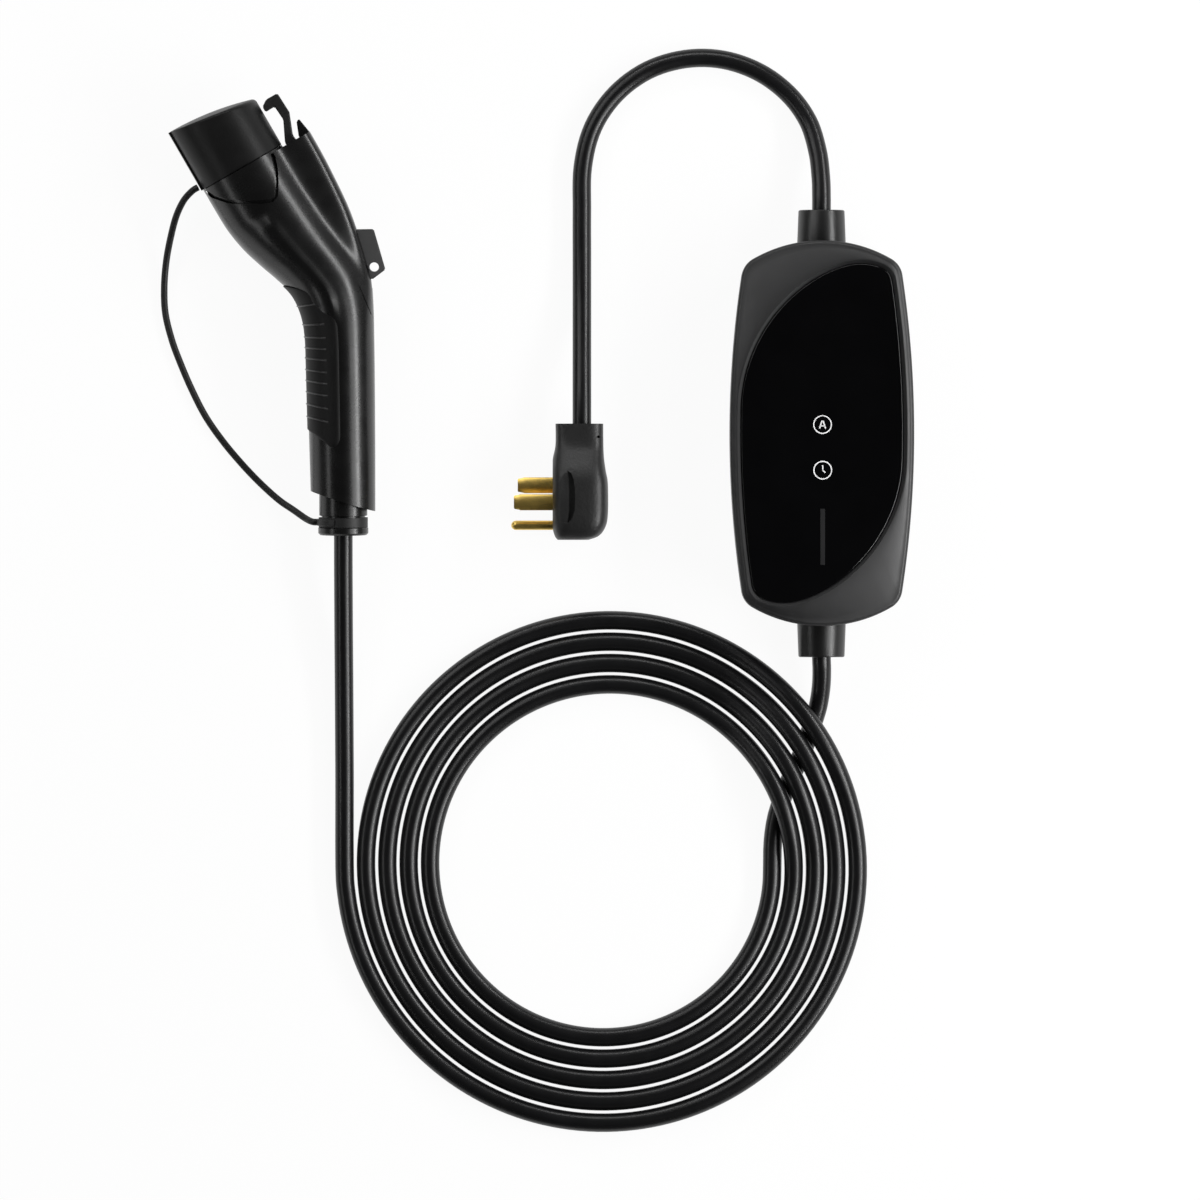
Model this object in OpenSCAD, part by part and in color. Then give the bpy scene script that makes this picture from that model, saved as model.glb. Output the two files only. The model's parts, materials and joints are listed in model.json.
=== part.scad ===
// Portable charger for an electric car: a control box between a mains plug and a handheld connector.
// The set lies on a surface at z = 0. The origin is the centre of the control box's back face,
// +X points across the box, +Y towards its upper gland and +Z out of its face.

/* [Control box] */
// Width of the box across its middle
box_w = 97.4; // [92:0.2:104]
// Height of the box without its glands
box_h = 204; // [196:1:216]
// Depth of the box from its back to its face
box_depth = 48; // [46:0.5:56]
// Height of the joint between the two shells, which is also the height of the gland axes
joint_z = 18; // [17.5:0.1:19.5]
// Radius of the bowed long sides
side_r = 563; // [450:1:800]
// Radius of the bowed short ends
end_r = 73; // [70:0.5:80]
// Radius of the corners of the outline
corner_r = 12; // [10:0.5:14]
// Rounding along the front edge
front_edge_r = 5; // [4:0.25:6]
// Rounding along the back edge
back_edge_r = 4; // [3:0.25:5]
// Wall of the shells
case_wall = 2.8; // [2.4:0.1:3.2]
// Fall of the two shoulders for each millimetre away from the panel
shoulder_fall = 0.28; // [0.15:0.01:0.32]

/* [Face panel] */
// Distance from the outline of the box to the panel
panel_inset = 6; // [5.5:0.1:7]
// Thickness of the panel
panel_t = 2; // [1.6:0.1:2.4]
// Radius of the panel's two tight corners
panel_corner_r = 11; // [9:0.5:13]
// Radius of the panel's two long sweeps
sweep_r = 83; // [80:0.5:86]
// Width of the bevel round the panel
bevel_w = 2.3; // [1.8:0.1:2.8]
// Length of the light bar
light_bar_l = 29.6; // [20:0.1:36]
// Width of the light bar
light_bar_w = 2.4; // [1.6:0.1:4]

/* [Glands] */
// Radius of a gland where it leaves the box
gland_r = 12.85; // [12:0.05:13.5]
// Radius of a gland at its free end
gland_tip_r = 12.25; // [11:0.05:12.8]
// Length of a gland outside the box
gland_l = 16.5; // [14:0.5:22]

/* [Cords] */
// Diameter of the mains lead and of the charge cable
cable_d = 10; // [9:0.1:10.4]
// Width of the tether strap
strap_w = 3.6; // [3:0.1:4]
// Radius of the innermost turn of the coil
coil_r = 88; // [80:1:100]
// Distance from one turn of the coil to the next
coil_pitch = 11.34; // [11:0.02:12]

/* [Plug] */
// Half width of the plug body, which lies on its flank
plug_half_w = 20; // [18:0.25:23]
// Depth of the finger pads in the plug's flanks
pad_deep = 1.1; // [0.6:0.1:1.5]
// Depth of the groove along each finger pad
groove_deep = 2.8; // [2:0.1:3.2]
// Length of the blades outside the plug
blade_l = 20.5; // [18:0.5:25]
// Width of a blade
blade_w = 8.4; // [7:0.1:9]
// Thickness of a blade
blade_t = 1.8; // [1.5:0.1:2.4]
// Distance between the two line blades
blade_gap = 19; // [16:0.5:22]
// Radius of the earth pin
earth_pin_r = 2.5; // [2.2:0.05:3]
// Length of the earth pin outside the plug
earth_pin_l = 22; // [19:0.5:26]

/* [Connector] */
// Diameter of the nose that goes into the car
nose_d = 43.8; // [43:0.1:44.4]
// Length of the nose in front of its collar
nose_l = 26.5; // [24:0.5:28]
// Wall of the two handle shells
handle_wall = 2; // [1.7:0.1:2.3]
// Proud height of the collar's two tongues
collar_t = 0.95; // [0.7:0.05:1.2]
// Thickness of the rubber grip inset
grip_t = 0.8; // [0.6:0.05:1.2]
// Height of the ribs on the grip inset
rib_h = 0.6; // [0.3:0.05:0.9]
// Radius of the sleeve at the end of the handle
sleeve_r = 12.75; // [12.4:0.05:13]
// Radius of the flange at the end of the tail nut
flange_r = 13.3; // [13.1:0.05:14]

/* [Latch] */
// Width of the latch lever
lever_w = 9; // [8:0.1:9.4]
// Radius of the pin that the lever turns on
pivot_r = 2; // [1.6:0.05:2.2]
// Radius of the lever's boss
lever_boss_r = 5; // [4.4:0.1:5.2]
// Radius of the padlock hole in the thumb tab
padlock_r = 2.5; // [2:0.05:2.7]

/* [Dust cap] */
// Wall of the dust cap
cap_wall = 2; // [1.6:0.1:2.2]
// Thickness of its closed end
cap_end = 2.8; // [2:0.1:3.5]
// Radius of the closed end's dome
cap_dome_r = 160; // [120:1:200]
// Slant of the closed end, in degrees
cap_slant = 7; // [4:0.5:9]
// Proud height of the strip that carries the tether
cap_strip_t = 1; // [0.6:0.1:1.4]

/* [Hidden] */
$fn = 48;

// Clearances
fit = 0.05;
slip = 0.1;
loose = 0.4;
facet_gap = 0.3;
cut = 1;

// Control box: outline steps, panel and joint
SIDE_STEPS = 7;
CORNER_STEPS = 5;
END_STEPS = 6;
EDGE_STEPS = 3;
side_c = [box_w / 2 - side_r, 0];
end_c = [0, box_h / 2 - end_r];
sweep_c = [sweep_r - box_w / 2 + panel_inset, 10.9];
soft_over = 35;
soft_from = box_h / 2 - 57;
SOFT_POWER = 24;
panel_top = box_depth - 0.8;
panel_floor = panel_top - panel_t;
ledge_w = 5;
ledge_t = 2.6;
seal_inset = case_wall / 2;
seal_h = 1;
rear_floor = 2.6;

// Boards and what stands on them
board_t = 1.6;
board_z = 10;
board_edge = 11;
board_end = 32;
board_w = box_w - 2 * (case_wall + board_edge);
board_l = box_h - 2 * (case_wall + board_end);
post_r = 4;
post_edge = 5;
post_at = [board_w / 2 - post_edge, board_l / 2 - post_edge];
screw_r = 1.5;
screw_head_r = 2.9;
screw_head_h = 2;
board_screw_l = 7;
boss_r = 4.2;
boss_top = 32;
boss_at = [for (y = box_h * [-0.36, 0, 0.36]) for (s = [-1, 1])
    [s * (side_c[0] + sqrt(side_r ^ 2 - y ^ 2) - case_wall - boss_r + 0.6), y]];
relay_size = [20, 28, 16];
module_size = [26, 34, 20];
terminal_size = [44, 13, 14];
terminal_edge = 11;
sensor_r = 13;
sensor_bore_r = 7.5;
sensor_h = 12;

// Glands
gland_rim_r = gland_r + 2.2;
gland_rim_l = 3;
gland_in = 9;
cable_r = cable_d / 2;
cord_bore_r = cable_r + 0.15;

// Mains plug: [height along the plug, left edge, right edge, share of the half width]
plug_at = [-126.9, 5.2];
PLUG = [[0, -13.5, 10.6, 0.56], [-11, -13.5, 10.7, 0.58], [-18, -14.8, 11, 0.74], [-25, -15.6, 11.9, 0.92],
    [-32, -15.6, 13, 1], [-48, -15.6, 13, 1], [-55, -15, 11.6, 0.94], [-59.5, -13.9, 8.2, 0.8],
    [-61.5, -12.6, 3, 0.6]];
PAD = [[-17, -25.2], [-7.4, -25.2], [-6.6, -27], [-6.3, -33], [-6.3, -45], [-6.6, -50.5], [-7.4, -52.4],
    [-17, -52.4]];
PAD_GROOVE = [[-7.8, -24.9], [-6, -26.4], [-4.9, -29.5], [-4.4, -34], [-4.3, -40], [-4.6, -46], [-5.6, -50.4],
    [-7.8, -52.8], [-7.2, -50], [-6.6, -46], [-6.4, -40], [-6.5, -34], [-6.9, -29]];
vent_at = [8.65, -7];
vent_r = 0.8;
plug_face = -15.6;
neutral_v = -32.6;
line_v = -41.6;
earth_v = -53.8;
blade_in = 9;
blade_nose = 3;

// Connector: sections of the handle from its tail to its front, each the left and the right point of the
// outline, the in-plane and the sideways radius of the barrel, and the half width of the spine
nose_r = nose_d / 2;
barrel_r = nose_r + fit + handle_wall;
nose_turn = 30;
nose_axis = [-sin(nose_turn), cos(nose_turn)];
nose_side = [cos(nose_turn), sin(nose_turn)];
nose_at = [-53.3, 192.7];
spine_reach = 40.4;
HANDLE = [
    [-18, 22.4, 16.3, 11.7, 17.9, 17.5, 8],
    [-18.9, 53.6, 16.3, 45, 18.05, 18.5, 8],
    [-19.7, 85, 16.1, 81, 17.95, 19, 8],
    [-20.4, 104, 15.8, 104, 18.05, 19.5, 8.5],
    [-22.6, 116, 15.4, 121, 18.8, 20, 9],
    [-27.5, 126.3, 14.2, 135.5, 20, 21, 9.5],
    [-35.6, 134.2, 10.9, 147.5, 21.5, 22, 10],
    [-44.5, 141.8, 6.8, 160.5, 22.5, 23, 10.5],
    [-53.5, 150.2, 1.5, 174.5, 23.5, 23.7, 11],
    front_section(-24, -0.4, -0.6),
    front_section(-12, 0, -0.1),
    front_section(0, 0, 0)];
function front_section(a, left, right) =
    let (l = nose_at - (barrel_r + left) * nose_side + a * nose_axis,
         r = nose_at + (spine_reach + right) * nose_side + a * nose_axis)
    [l[0], l[1], r[0], r[1], barrel_r, barrel_r, 11];
HALF_STEPS = 18;
SPAN_STEPS = 3;
BLEND = 10;

// Connector: how it lies
tail_rest = 17;
tail_rest_r = HANDLE[0][5] + 0.45;
head_rest = 175;
gun_tilt = asin((barrel_r + slip + collar_t - tail_rest_r) / (head_rest - tail_rest));
gun_at = [-252.8, -52.7, tail_rest_r * cos(gun_tilt) - tail_rest * sin(gun_tilt)];
tail_u = -0.7;

// Connector: grip inset, as places along the handle's sections
grip_from = 0.87;
grip_to = 5.6;
grip_foot = 0.2;
grip_half = 88;
rib_at = [1.25, 1.45, 1.65, 1.85, 2.07, 2.35, 2.65, 3.0, 3.5, 4.4];
rib_half_w = 0.028;
GRIP_STEPS = 20;

// Connector: nose, contacts and switch, by their places along and across the nose
nose_back = 12;
collar_l = 1.2;
core_l = 20;
nose_wall = 2.4;
plate_t = 3;
contact_front = 18.5;
contact_back = 24;
line_at = [7, 7.8];
earth_at = [-10.5, 0];
signal_at = [-4.5, 12];
line_r = 4;
earth_r = 3.6;
signal_r = 2.4;
switch_size = [9.5, 6.4, 11];
switch_from = 14;
plunger_r = 1;

// Latch: pivot, hook and tab as points of the side view
pivot = [-13, 184];
padlock_at = [15.8, 141.1];
LEVER = [[-43.3, 225.9], [-41.4, 229.8], [-35.7, 233], [-34.9, 232.2], [-29.1, 223.1], [-27.3, 211],
    [-9.5, 186], [2.2, 163.6], [-0.6, 158.05], [-4, 164], [-16.9, 181.5], [-31.4, 207], [-32.3, 219.2],
    [-36.9, 226], [-41.6, 223.1]];
TENON = [[0.1, 163.6], [7.4, 156.4], [5.9, 154.6], [-1.3, 160.8]];
TAB = [[2.2, 163.6], [3.4, 161], [15.5, 161.1], [21.7, 139.7], [14.7, 134.5], [11, 136.5], [4, 150],
    [-0.6, 158.05]];
tenon_w = 4;
WINDOW = [[-1, 164.6], [9.5, 164.6], [25, 141], [20, 130], [8.6, 130]];
INSERT = [[8.6, 129.9], [14.6, 129.9], [15.2, 114]];
FIN = [[-24.2, 210.6], [-25.3, 218.2], [-24, 219.5], [-18.2, 212.4], [-19.4, 209.2], [-22.5, 207.4]];
fin_w = 3;
spring_wire_r = 0.4;
spring_r = 3.3;
spring_turns = 3;
spring_leg = 9;
spring_stub = 0.6;
pivot_boss_r = 4.4;
pivot_reach = 9.8;

// Tail of the connector, by height along the handle
nut_from = -1;
ring_from = 3.2;
ring_to = 8.4;
sleeve_from = 9.4;
rim_from = 25;
rim_to = 28;
clamp_to = 42;
ring_r = flange_r - 1.8;
clamp_r = 8;
tail_wall_t = 2;
tail_wall_r = 16.4;
SCREWS = [[-1, 50], [-1, 92], [-16, 128], [-30, 152]];
handle_boss_r = 4.2;
handle_screw_from = 10;
handle_screw_to = 8;

// Dust cap and tether
cap_r = nose_r + slip + cap_wall;
cap_l = nose_l + slip + cap_end;
cap_strip_w = 9;

// Coil and the routes of the cords, in millimetres
coil_at = [-113.95, -229.5];
coil_turns = 4.5;
hump_from = 4;
hump_turn = 46;
MAINS_ROUTE = [[0, 109, 18], [0, 119.5, 18], [0, 126, 17.4], [-0.3, 136, 15], [-2, 150, 11], [-7, 166, 7],
    [-17.5, 180.5, 5.2], [-33, 192, 5], [-52, 198.6, 5], [-72, 199, 5], [-92, 193, 5], [-109, 180.5, 5],
    [-121, 163, 5], [-126.5, 142, 5], [-127, 118, 5], [-127, 94, 5.2], [-127, 72, 7], [-127, 52, 11],
    [-127, 34, 15.8], [-127, 20, 19], [-127, 10, 20], [-127, 1, 20]];
LEAD_ROUTE = [[0, -109, 18], [0, -119.5, 18], [0.2, -125, 16.6], [0, -133, 13.6], [-1, -141, 10.8],
    [-2.6, -148, 9.2]];
TAIL_ROUTE = [[-253, -186, 5], [-253.1, -165, 5], [-253.2, -145, 5.6], [-253.3, -126, 7.2],
    [-253.4, -108, 9.6], [-253.45, -90, 12.6], [-253.5, -72, 15.6], [-253.5, -62, 16.7], [-253.5, -53.7, 17.13],
    [-253.5, -43.7, 17.57]];
STRAP_ROUTE = [[-330.4, 130.35, 25.35], [-333.5, 128.4, 24.6], [-338, 123.5, 21.4], [-342, 115.5, 16.4],
    [-345, 105, 10.8], [-347.6, 92, 5.4], [-348.8, 78, 2.6], [-348.2, 64, 2], [-344.8, 50, 2], [-340.4, 38, 2],
    [-334.4, 24, 2], [-327, 9.5, 2], [-318, -3.5, 2], [-308, -15.5, 2], [-298, -26, 2.4], [-288, -35, 4.4],
    [-280, -40.5, 8], [-273.5, -45, 13], [-269.9, -46.7, 16.9], [-267.2, -46.9, 17.3]];

function dir(a) = [cos(a), sin(a)];
function at_z(ring, z) = [for (p = ring) [p[0], p[1], z]];
function at_heights(ring, heights) = [for (i = [0:len(ring) - 1]) [ring[i][0], ring[i][1], heights[i]]];

// Triangles between two rings of n points each
function band(a, b, n) = [for (j = [0:n - 1]) let (k = (j + 1) % n)
    each [[a + j, b + j, b + k], [a + j, b + k, a + k]]];
// Triangles that close a ring made of an outer and an inner row of points
function strip(a, n) = [for (j = [0:n / 2 - 2])
    each [[a + j, a + j + 1, a + n - 2 - j], [a + j, a + n - 2 - j, a + n - 1 - j]]];
function turned(faces) = [for (f = faces) [f[2], f[1], f[0]]];

// Solid through a row of rings: ends is "flat", "strip" or, for a ring that closes on itself, "loop"
module loft(rings, ends = "flat") {
    n = len(rings[0]);
    last = (len(rings) - 1) * n;
    sides = [for (i = [0:len(rings) - 2]) each band(i * n, (i + 1) * n, n)];
    caps = ends == "loop" ? band(last, 0, n)
        : ends == "strip" ? concat(strip(0, n), turned(strip(last, n)))
        : [[for (j = [0:n - 1]) j], [for (j = [n - 1:-1:0]) last + j]];
    polyhedron([for (r = rings) each r], concat(sides, caps), convexity = 8);
}

// Round tube along a route
function unit(v) = v / norm(v);
function heading(route, i) = unit(route[min(i + 1, len(route) - 1)] - route[max(i - 1, 0)]);
module tube(route, r, sides = 12, up = [0, 0, 1]) {
    loft([for (i = [0:len(route) - 1])
        let (t = heading(route, i), side = unit(cross(t, up)), top = cross(side, t))
        [for (j = [0:sides - 1]) let (a = -360 * j / sides) route[i] + r * (cos(a) * side + sin(a) * top)]]);
}

// Smooth curve through the rows of a table
function smooth(rows, t) =
    let (last = len(rows) - 1, i = min(floor(t), last - 1), f = t - i,
         a = rows[max(i - 1, 0)], b = rows[i], c = rows[i + 1], d = rows[min(i + 2, last)])
    0.5 * (2 * b + (c - a) * f + (2 * a - 5 * b + 4 * c - d) * f ^ 2 + (3 * b - a - 3 * c + d) * f ^ 3);

// Outline of the box: bowed sides and ends joined by corner arcs that touch both
function corner_centre(r) =
    let (line = end_c - side_c, d = norm(line), e = line / d,
         along = ((side_r - r) ^ 2 - (end_r - r) ^ 2 + d ^ 2) / (2 * d))
    side_c + along * e + sqrt((side_r - r) ^ 2 - along ^ 2) * [-e[1], e[0]];
function quarter(inset, r) =
    let (c = corner_centre(r), a = atan2(c[1], c[0] - side_c[0]), b = atan2(c[1] - end_c[1], c[0]))
    concat([for (i = [0:SIDE_STEPS - 1]) side_c + (side_r - inset) * dir(a * i / SIDE_STEPS)],
        [for (i = [0:CORNER_STEPS - 1]) c + (r - inset) * dir(a + (b - a) * i / CORNER_STEPS)],
        [for (i = [0:END_STEPS - 1]) end_c + (end_r - inset) * dir(b + (90 - b) * i / END_STEPS)]);
function outline(inset, r = corner_r) =
    let (q = quarter(inset, r), k = len(q),
         half = concat(q, [[0, box_h / 2 - inset]], [for (i = [k - 1:-1:1]) [-q[i][0], q[i][1]]]))
    concat(half, [for (p = half) -p]);

// Outline of the panel: the inset outline, cut by one sweep at the upper left and one at the lower right
function reach_to(p, c, r) = (p * c + sqrt((p * c) ^ 2 - p * p * (c * c - r ^ 2))) / (p * p);
function beyond(p) = p[0] < sweep_c[0] && p[1] > sweep_c[1];
// Share of the way out to the sweep: a plain cut along the sides, rounded off towards the ends
function cut_share(p, reach) =
    let (soft = min(max((abs(p[1]) - soft_from) / soft_over, 0), 1))
    (1 - soft) * min(1, reach) + soft * (1 + reach ^ -SOFT_POWER) ^ (-1 / SOFT_POWER);
function swept(p, r) = beyond(p) ? p * cut_share(p, reach_to(p, sweep_c, r))
    : beyond(-p) ? p * cut_share(p, reach_to(p, -sweep_c, r)) : p;
function panel(grow) =
    [for (p = outline(panel_inset - grow, panel_corner_r + panel_inset)) swept(p, sweep_r + grow)];
CASE = outline(0);
PANEL = panel(0);
EDGE_Z = [for (i = [0:len(CASE) - 1])
    box_depth - 0.6 - shoulder_fall * max(0, norm(CASE[i] - PANEL[i]) - panel_inset)];
function lowered(by) = [for (z = EDGE_Z) z - by];

// Cylinder along the gland axis through both ends of the box
module gland_axis() {
    translate([0, 0, joint_z]) rotate([-90, 0, 0]) children();
}

module gland_holes() {
    gland_axis() cylinder(r = gland_r + slip, h = box_h + 2 * cut, center = true);
}

module case_bosses(from, to, r) {
    for (p = boss_at) translate([p[0], p[1], from]) cylinder(r = r, h = to - from);
}

module front_shell() {
    edge = [for (k = [1:EDGE_STEPS]) let (a = 90 * k / EDGE_STEPS)
        at_heights(outline(front_edge_r * (1 - cos(a))), lowered(front_edge_r * (1 - sin(a))))];
    rings = concat(
        [at_z(CASE, joint_z), at_heights(CASE, lowered(front_edge_r))],
        edge,
        [at_z(panel(bevel_w), box_depth), at_z(panel(slip), panel_top), at_z(panel(slip), panel_floor),
            at_z(panel(-ledge_w), panel_floor), at_z(panel(-ledge_w), panel_floor - ledge_t),
            at_heights(outline(front_edge_r), lowered(front_edge_r)),
            at_heights(outline(case_wall), lowered(front_edge_r + case_wall)),
            at_z(outline(case_wall), joint_z)]);
    color("dimgray") difference() {
        union() {
            loft(rings, "loop");
            case_bosses(joint_z + fit, boss_top, boss_r);
        }
        gland_holes();
        case_bosses(joint_z - cut, boss_top - 3, screw_r);
    }
}

module rear_shell() {
    edge = [for (k = [0:EDGE_STEPS]) let (a = 90 * k / EDGE_STEPS)
        at_z(outline(back_edge_r * (1 - sin(a))), back_edge_r * (1 - cos(a)))];
    rings = concat(edge,
        [at_z(CASE, joint_z), at_z(outline(seal_inset), joint_z), at_z(outline(seal_inset), joint_z - seal_h),
            at_z(outline(case_wall), joint_z - seal_h), at_z(outline(case_wall), back_edge_r),
            at_z(outline(back_edge_r), rear_floor)]);
    color("dimgray") difference() {
        union() {
            loft(rings);
            for (x = [-1, 1], y = [-1, 1]) translate([x * post_at[0], y * post_at[1], rear_floor - 1])
                cylinder(r = post_r, h = board_z - rear_floor + 1);
            case_bosses(rear_floor - 1, joint_z - seal_h, boss_r);
        }
        gland_holes();
        for (x = [-1, 1], y = [-1, 1]) translate([x * post_at[0], y * post_at[1], rear_floor + 1])
            cylinder(r = screw_r, h = board_z);
        case_bosses(-cut, joint_z, screw_r + slip);
        case_bosses(-cut, screw_head_h + loose, screw_head_r + slip);
    }
}

module case_seal() {
    color("black") difference() {
        translate([0, 0, joint_z - seal_h]) linear_extrude(seal_h) difference() {
            polygon(outline(seal_inset + fit));
            polygon(outline(case_wall - fit));
        }
        gland_holes();
    }
}

module face_panel() {
    color([0.01, 0.01, 0.012]) translate([0, 0, panel_floor]) linear_extrude(panel_t) difference() {
        polygon(PANEL);
        translate(light_bar_at()) square([light_bar_w + 2 * fit, light_bar_l + 2 * fit], center = true);
    }
}

function light_bar_at() = [0.3, -54.8];

module light_bar() {
    color("gray") translate([light_bar_at()[0], light_bar_at()[1], panel_floor]) linear_extrude(panel_t)
        square([light_bar_w, light_bar_l], center = true);
}

module panel_board() {
    color("darkgreen") translate([0, 0, panel_floor - board_t]) linear_extrude(board_t)
        polygon(panel(-ledge_w - loose));
}

module main_board() {
    color("darkgreen") translate([0, 0, board_z]) linear_extrude(board_t) difference() {
        square([board_w, board_l], center = true);
        for (x = [-1, 1], y = [-1, 1]) translate([x * post_at[0], y * post_at[1]]) circle(r = screw_r + slip);
    }
}

module on_board(at) {
    translate([at[0], at[1], board_z + board_t]) children();
}

// Relay: a sealed block with softened upright edges
module relay(x) {
    color("midnightblue") on_board([x, -14]) linear_extrude(relay_size[2]) offset(r = 1)
        square([relay_size[0] - 2, relay_size[1] - 2], center = true);
}

module relay_1() {
    relay(-13);
}

module relay_2() {
    relay(13);
}

module leakage_sensor() {
    color("goldenrod") on_board([-14, 21]) rotate_extrude()
        translate([sensor_bore_r, 0]) square([sensor_r - sensor_bore_r, sensor_h]);
}

module power_module() {
    color("black") on_board([16, 20]) linear_extrude(module_size[2])
        square([module_size[0], module_size[1]], center = true);
}

// Terminal block: three screw wells over three wire mouths that face the gland
module terminals(side) {
    color("mediumseagreen") on_board([0, side * (board_l / 2 - terminal_edge)]) difference() {
        translate([-terminal_size[0] / 2, -terminal_size[1] / 2, 0]) cube(terminal_size);
        for (x = [-1:1]) translate([x * 14, 0, 0]) {
            translate([0, -side * 1.5, terminal_size[2] - 6]) cylinder(r = 3, h = 6 + cut);
            translate([0, side * (terminal_size[1] / 2 + cut), 4.5]) rotate([side * 90, 0, 0])
                cylinder(r = 2.6, h = 6 + cut);
        }
    }
}

module input_terminals() {
    terminals(1);
}

module output_terminals() {
    terminals(-1);
}

// Gland: a tapered sleeve outside the wall, a rim inside it and a bore for the cord
module gland(side) {
    wall_y = box_h / 2;
    color([0.1, 0.1, 0.1]) rotate([0, 0, side > 0 ? 0 : 180]) gland_axis() rotate_extrude() polygon([
        [cord_bore_r, wall_y - gland_in], [gland_rim_r, wall_y - gland_in],
        [gland_rim_r, wall_y - gland_in + gland_rim_l], [gland_r, wall_y - gland_in + gland_rim_l],
        [gland_r, wall_y], [gland_tip_r, wall_y + gland_l - 1.2], [gland_tip_r - 1.2, wall_y + gland_l],
        [cord_bore_r, wall_y + gland_l]]);
}

module upper_gland() {
    gland(1);
}

module lower_gland() {
    gland(-1);
}

module screw(head_at, to, head_r = screw_head_r, head_h = screw_head_h, r = screw_r) {
    translate([0, 0, head_at]) cylinder(r = head_r, h = head_h);
    translate([0, 0, head_at + head_h]) cylinder(r = r, h = to - head_at - head_h);
}

module case_screws() {
    color("silver") for (p = boss_at) translate([p[0], p[1], 0])
        screw(loose, boss_top - 5, screw_head_r, screw_head_h, screw_r - fit);
}

module board_screws() {
    color("silver") for (x = [-1, 1], y = [-1, 1])
        translate([x * post_at[0], y * post_at[1], board_z + board_t + screw_head_h]) mirror([0, 0, 1])
            screw(0, board_screw_l, screw_head_r, screw_head_h, screw_r - fit);
}

module mains_lead() {
    color([0.06, 0.06, 0.06]) tube(MAINS_ROUTE, cable_r);
}

// Plug: everything on it is placed from the point where the lead goes in
module on_plug() {
    translate([plug_at[0], plug_at[1], plug_half_w]) children();
}

function boxy(x) = sign(x) * sqrt(abs(x));
function plug_ring(row) =
    let (mid = (row[1] + row[2]) / 2, half = 1.05 * (row[2] - row[1]) / 2, w = min(row[3], 1) * plug_half_w)
    [for (j = [0:31]) let (a = 360 * j / 32)
        [max(plug_face, mid + half * boxy(cos(a))), row[0], w * boxy(sin(a))]];

// Blade: a flat bar with a tapered tip, lying along -X from inside the plug's face
module blade_bar(l, w, t) {
    translate([plug_face, 0, 0]) rotate([0, 0, 180]) translate([0, 0, -t / 2]) linear_extrude(t) polygon([
        [-blade_in, -w / 2], [l - blade_nose, -w / 2], [l, -w / 2 + 1.2], [l, w / 2 - 1.2],
        [l - blade_nose, w / 2], [-blade_in, w / 2]]);
}

module blade_place(v, w) {
    translate([0, v, w]) children();
}

module earth_bar(r, l) {
    translate([plug_face + blade_in, earth_v, 0]) rotate([0, -90, 0]) rotate_extrude() polygon(concat(
        [[0, 0], [r, 0]], [for (k = [0:4]) let (a = 90 * k / 4) [r * cos(a), blade_in + l - r + r * sin(a)]]));
}

module plug_body() {
    color([0.09, 0.09, 0.09]) on_plug() difference() {
        loft([for (t = [len(PLUG) - 1:-0.5:0]) plug_ring(smooth(PLUG, t))]);
        for (s = [-1, 1]) blade_place(line_v, s * blade_gap / 2)
            blade_bar(blade_l, blade_w + slip, blade_t + slip);
        blade_place(neutral_v, 0) blade_bar(blade_l, blade_w + slip, blade_t + slip);
        earth_bar(earth_pin_r + fit, earth_pin_l);
        for (side = [0, 1]) mirror([0, 0, side]) {
            translate([0, 0, plug_half_w - pad_deep]) linear_extrude(pad_deep + cut) polygon(PAD);
            translate([0, 0, plug_half_w - groove_deep]) linear_extrude(groove_deep + cut) polygon(PAD_GROOVE);
        }
        translate([vent_at[0], vent_at[1], plug_half_w / 5]) cylinder(r = vent_r, h = plug_half_w);
        rotate([90, 0, 0]) translate([0, 0, -cut]) cylinder(r = cord_bore_r, h = 8 + cut);
    }
}

module line_blade(side) {
    color("gold") on_plug() blade_place(line_v, side * blade_gap / 2) blade_bar(blade_l, blade_w, blade_t);
}

module line_blade_1() {
    line_blade(1);
}

module line_blade_2() {
    line_blade(-1);
}

module neutral_blade() {
    color("gold") on_plug() blade_place(neutral_v, 0) blade_bar(blade_l - 2, blade_w, blade_t);
}

module earth_pin() {
    color("gold") on_plug() earth_bar(earth_pin_r, earth_pin_l);
}

module charge_lead() {
    color([0.06, 0.06, 0.06]) tube(LEAD_ROUTE, cable_r);
}

module charge_tail() {
    color([0.06, 0.06, 0.06]) tube(TAIL_ROUTE, cable_r);
}

// Coil: the outer shape of its turns, raised where they pass over the lead
module coil_section(bottom, top, inset) {
    inner = coil_r + coil_pitch / 4 - cable_r + inset;
    outer = coil_r + (coil_turns - 0.25) * coil_pitch + cable_r - inset;
    edge = 3;
    polygon([[inner + edge, bottom], [outer - edge, bottom], [outer, bottom + edge], [outer, top - edge],
        [outer - edge, top], [inner + edge, top], [inner, top - edge], [inner, bottom + edge]]);
}

module cable_coil() {
    color([0.06, 0.06, 0.06]) translate([coil_at[0] - coil_pitch / 4, coil_at[1], 0]) {
        rotate_extrude($fn = 96) coil_section(0, cable_d, 0);
        rotate([0, 0, hump_from]) rotate_extrude(angle = hump_turn, $fn = 96)
            coil_section(cable_r / 2, 2 * cable_d, 0.5);
    }
}

// Connector: placed from the middle of its tail, with u across, v along the handle and w sideways
module on_gun() {
    translate(gun_at) rotate([gun_tilt, 0, 0]) children();
}

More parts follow.
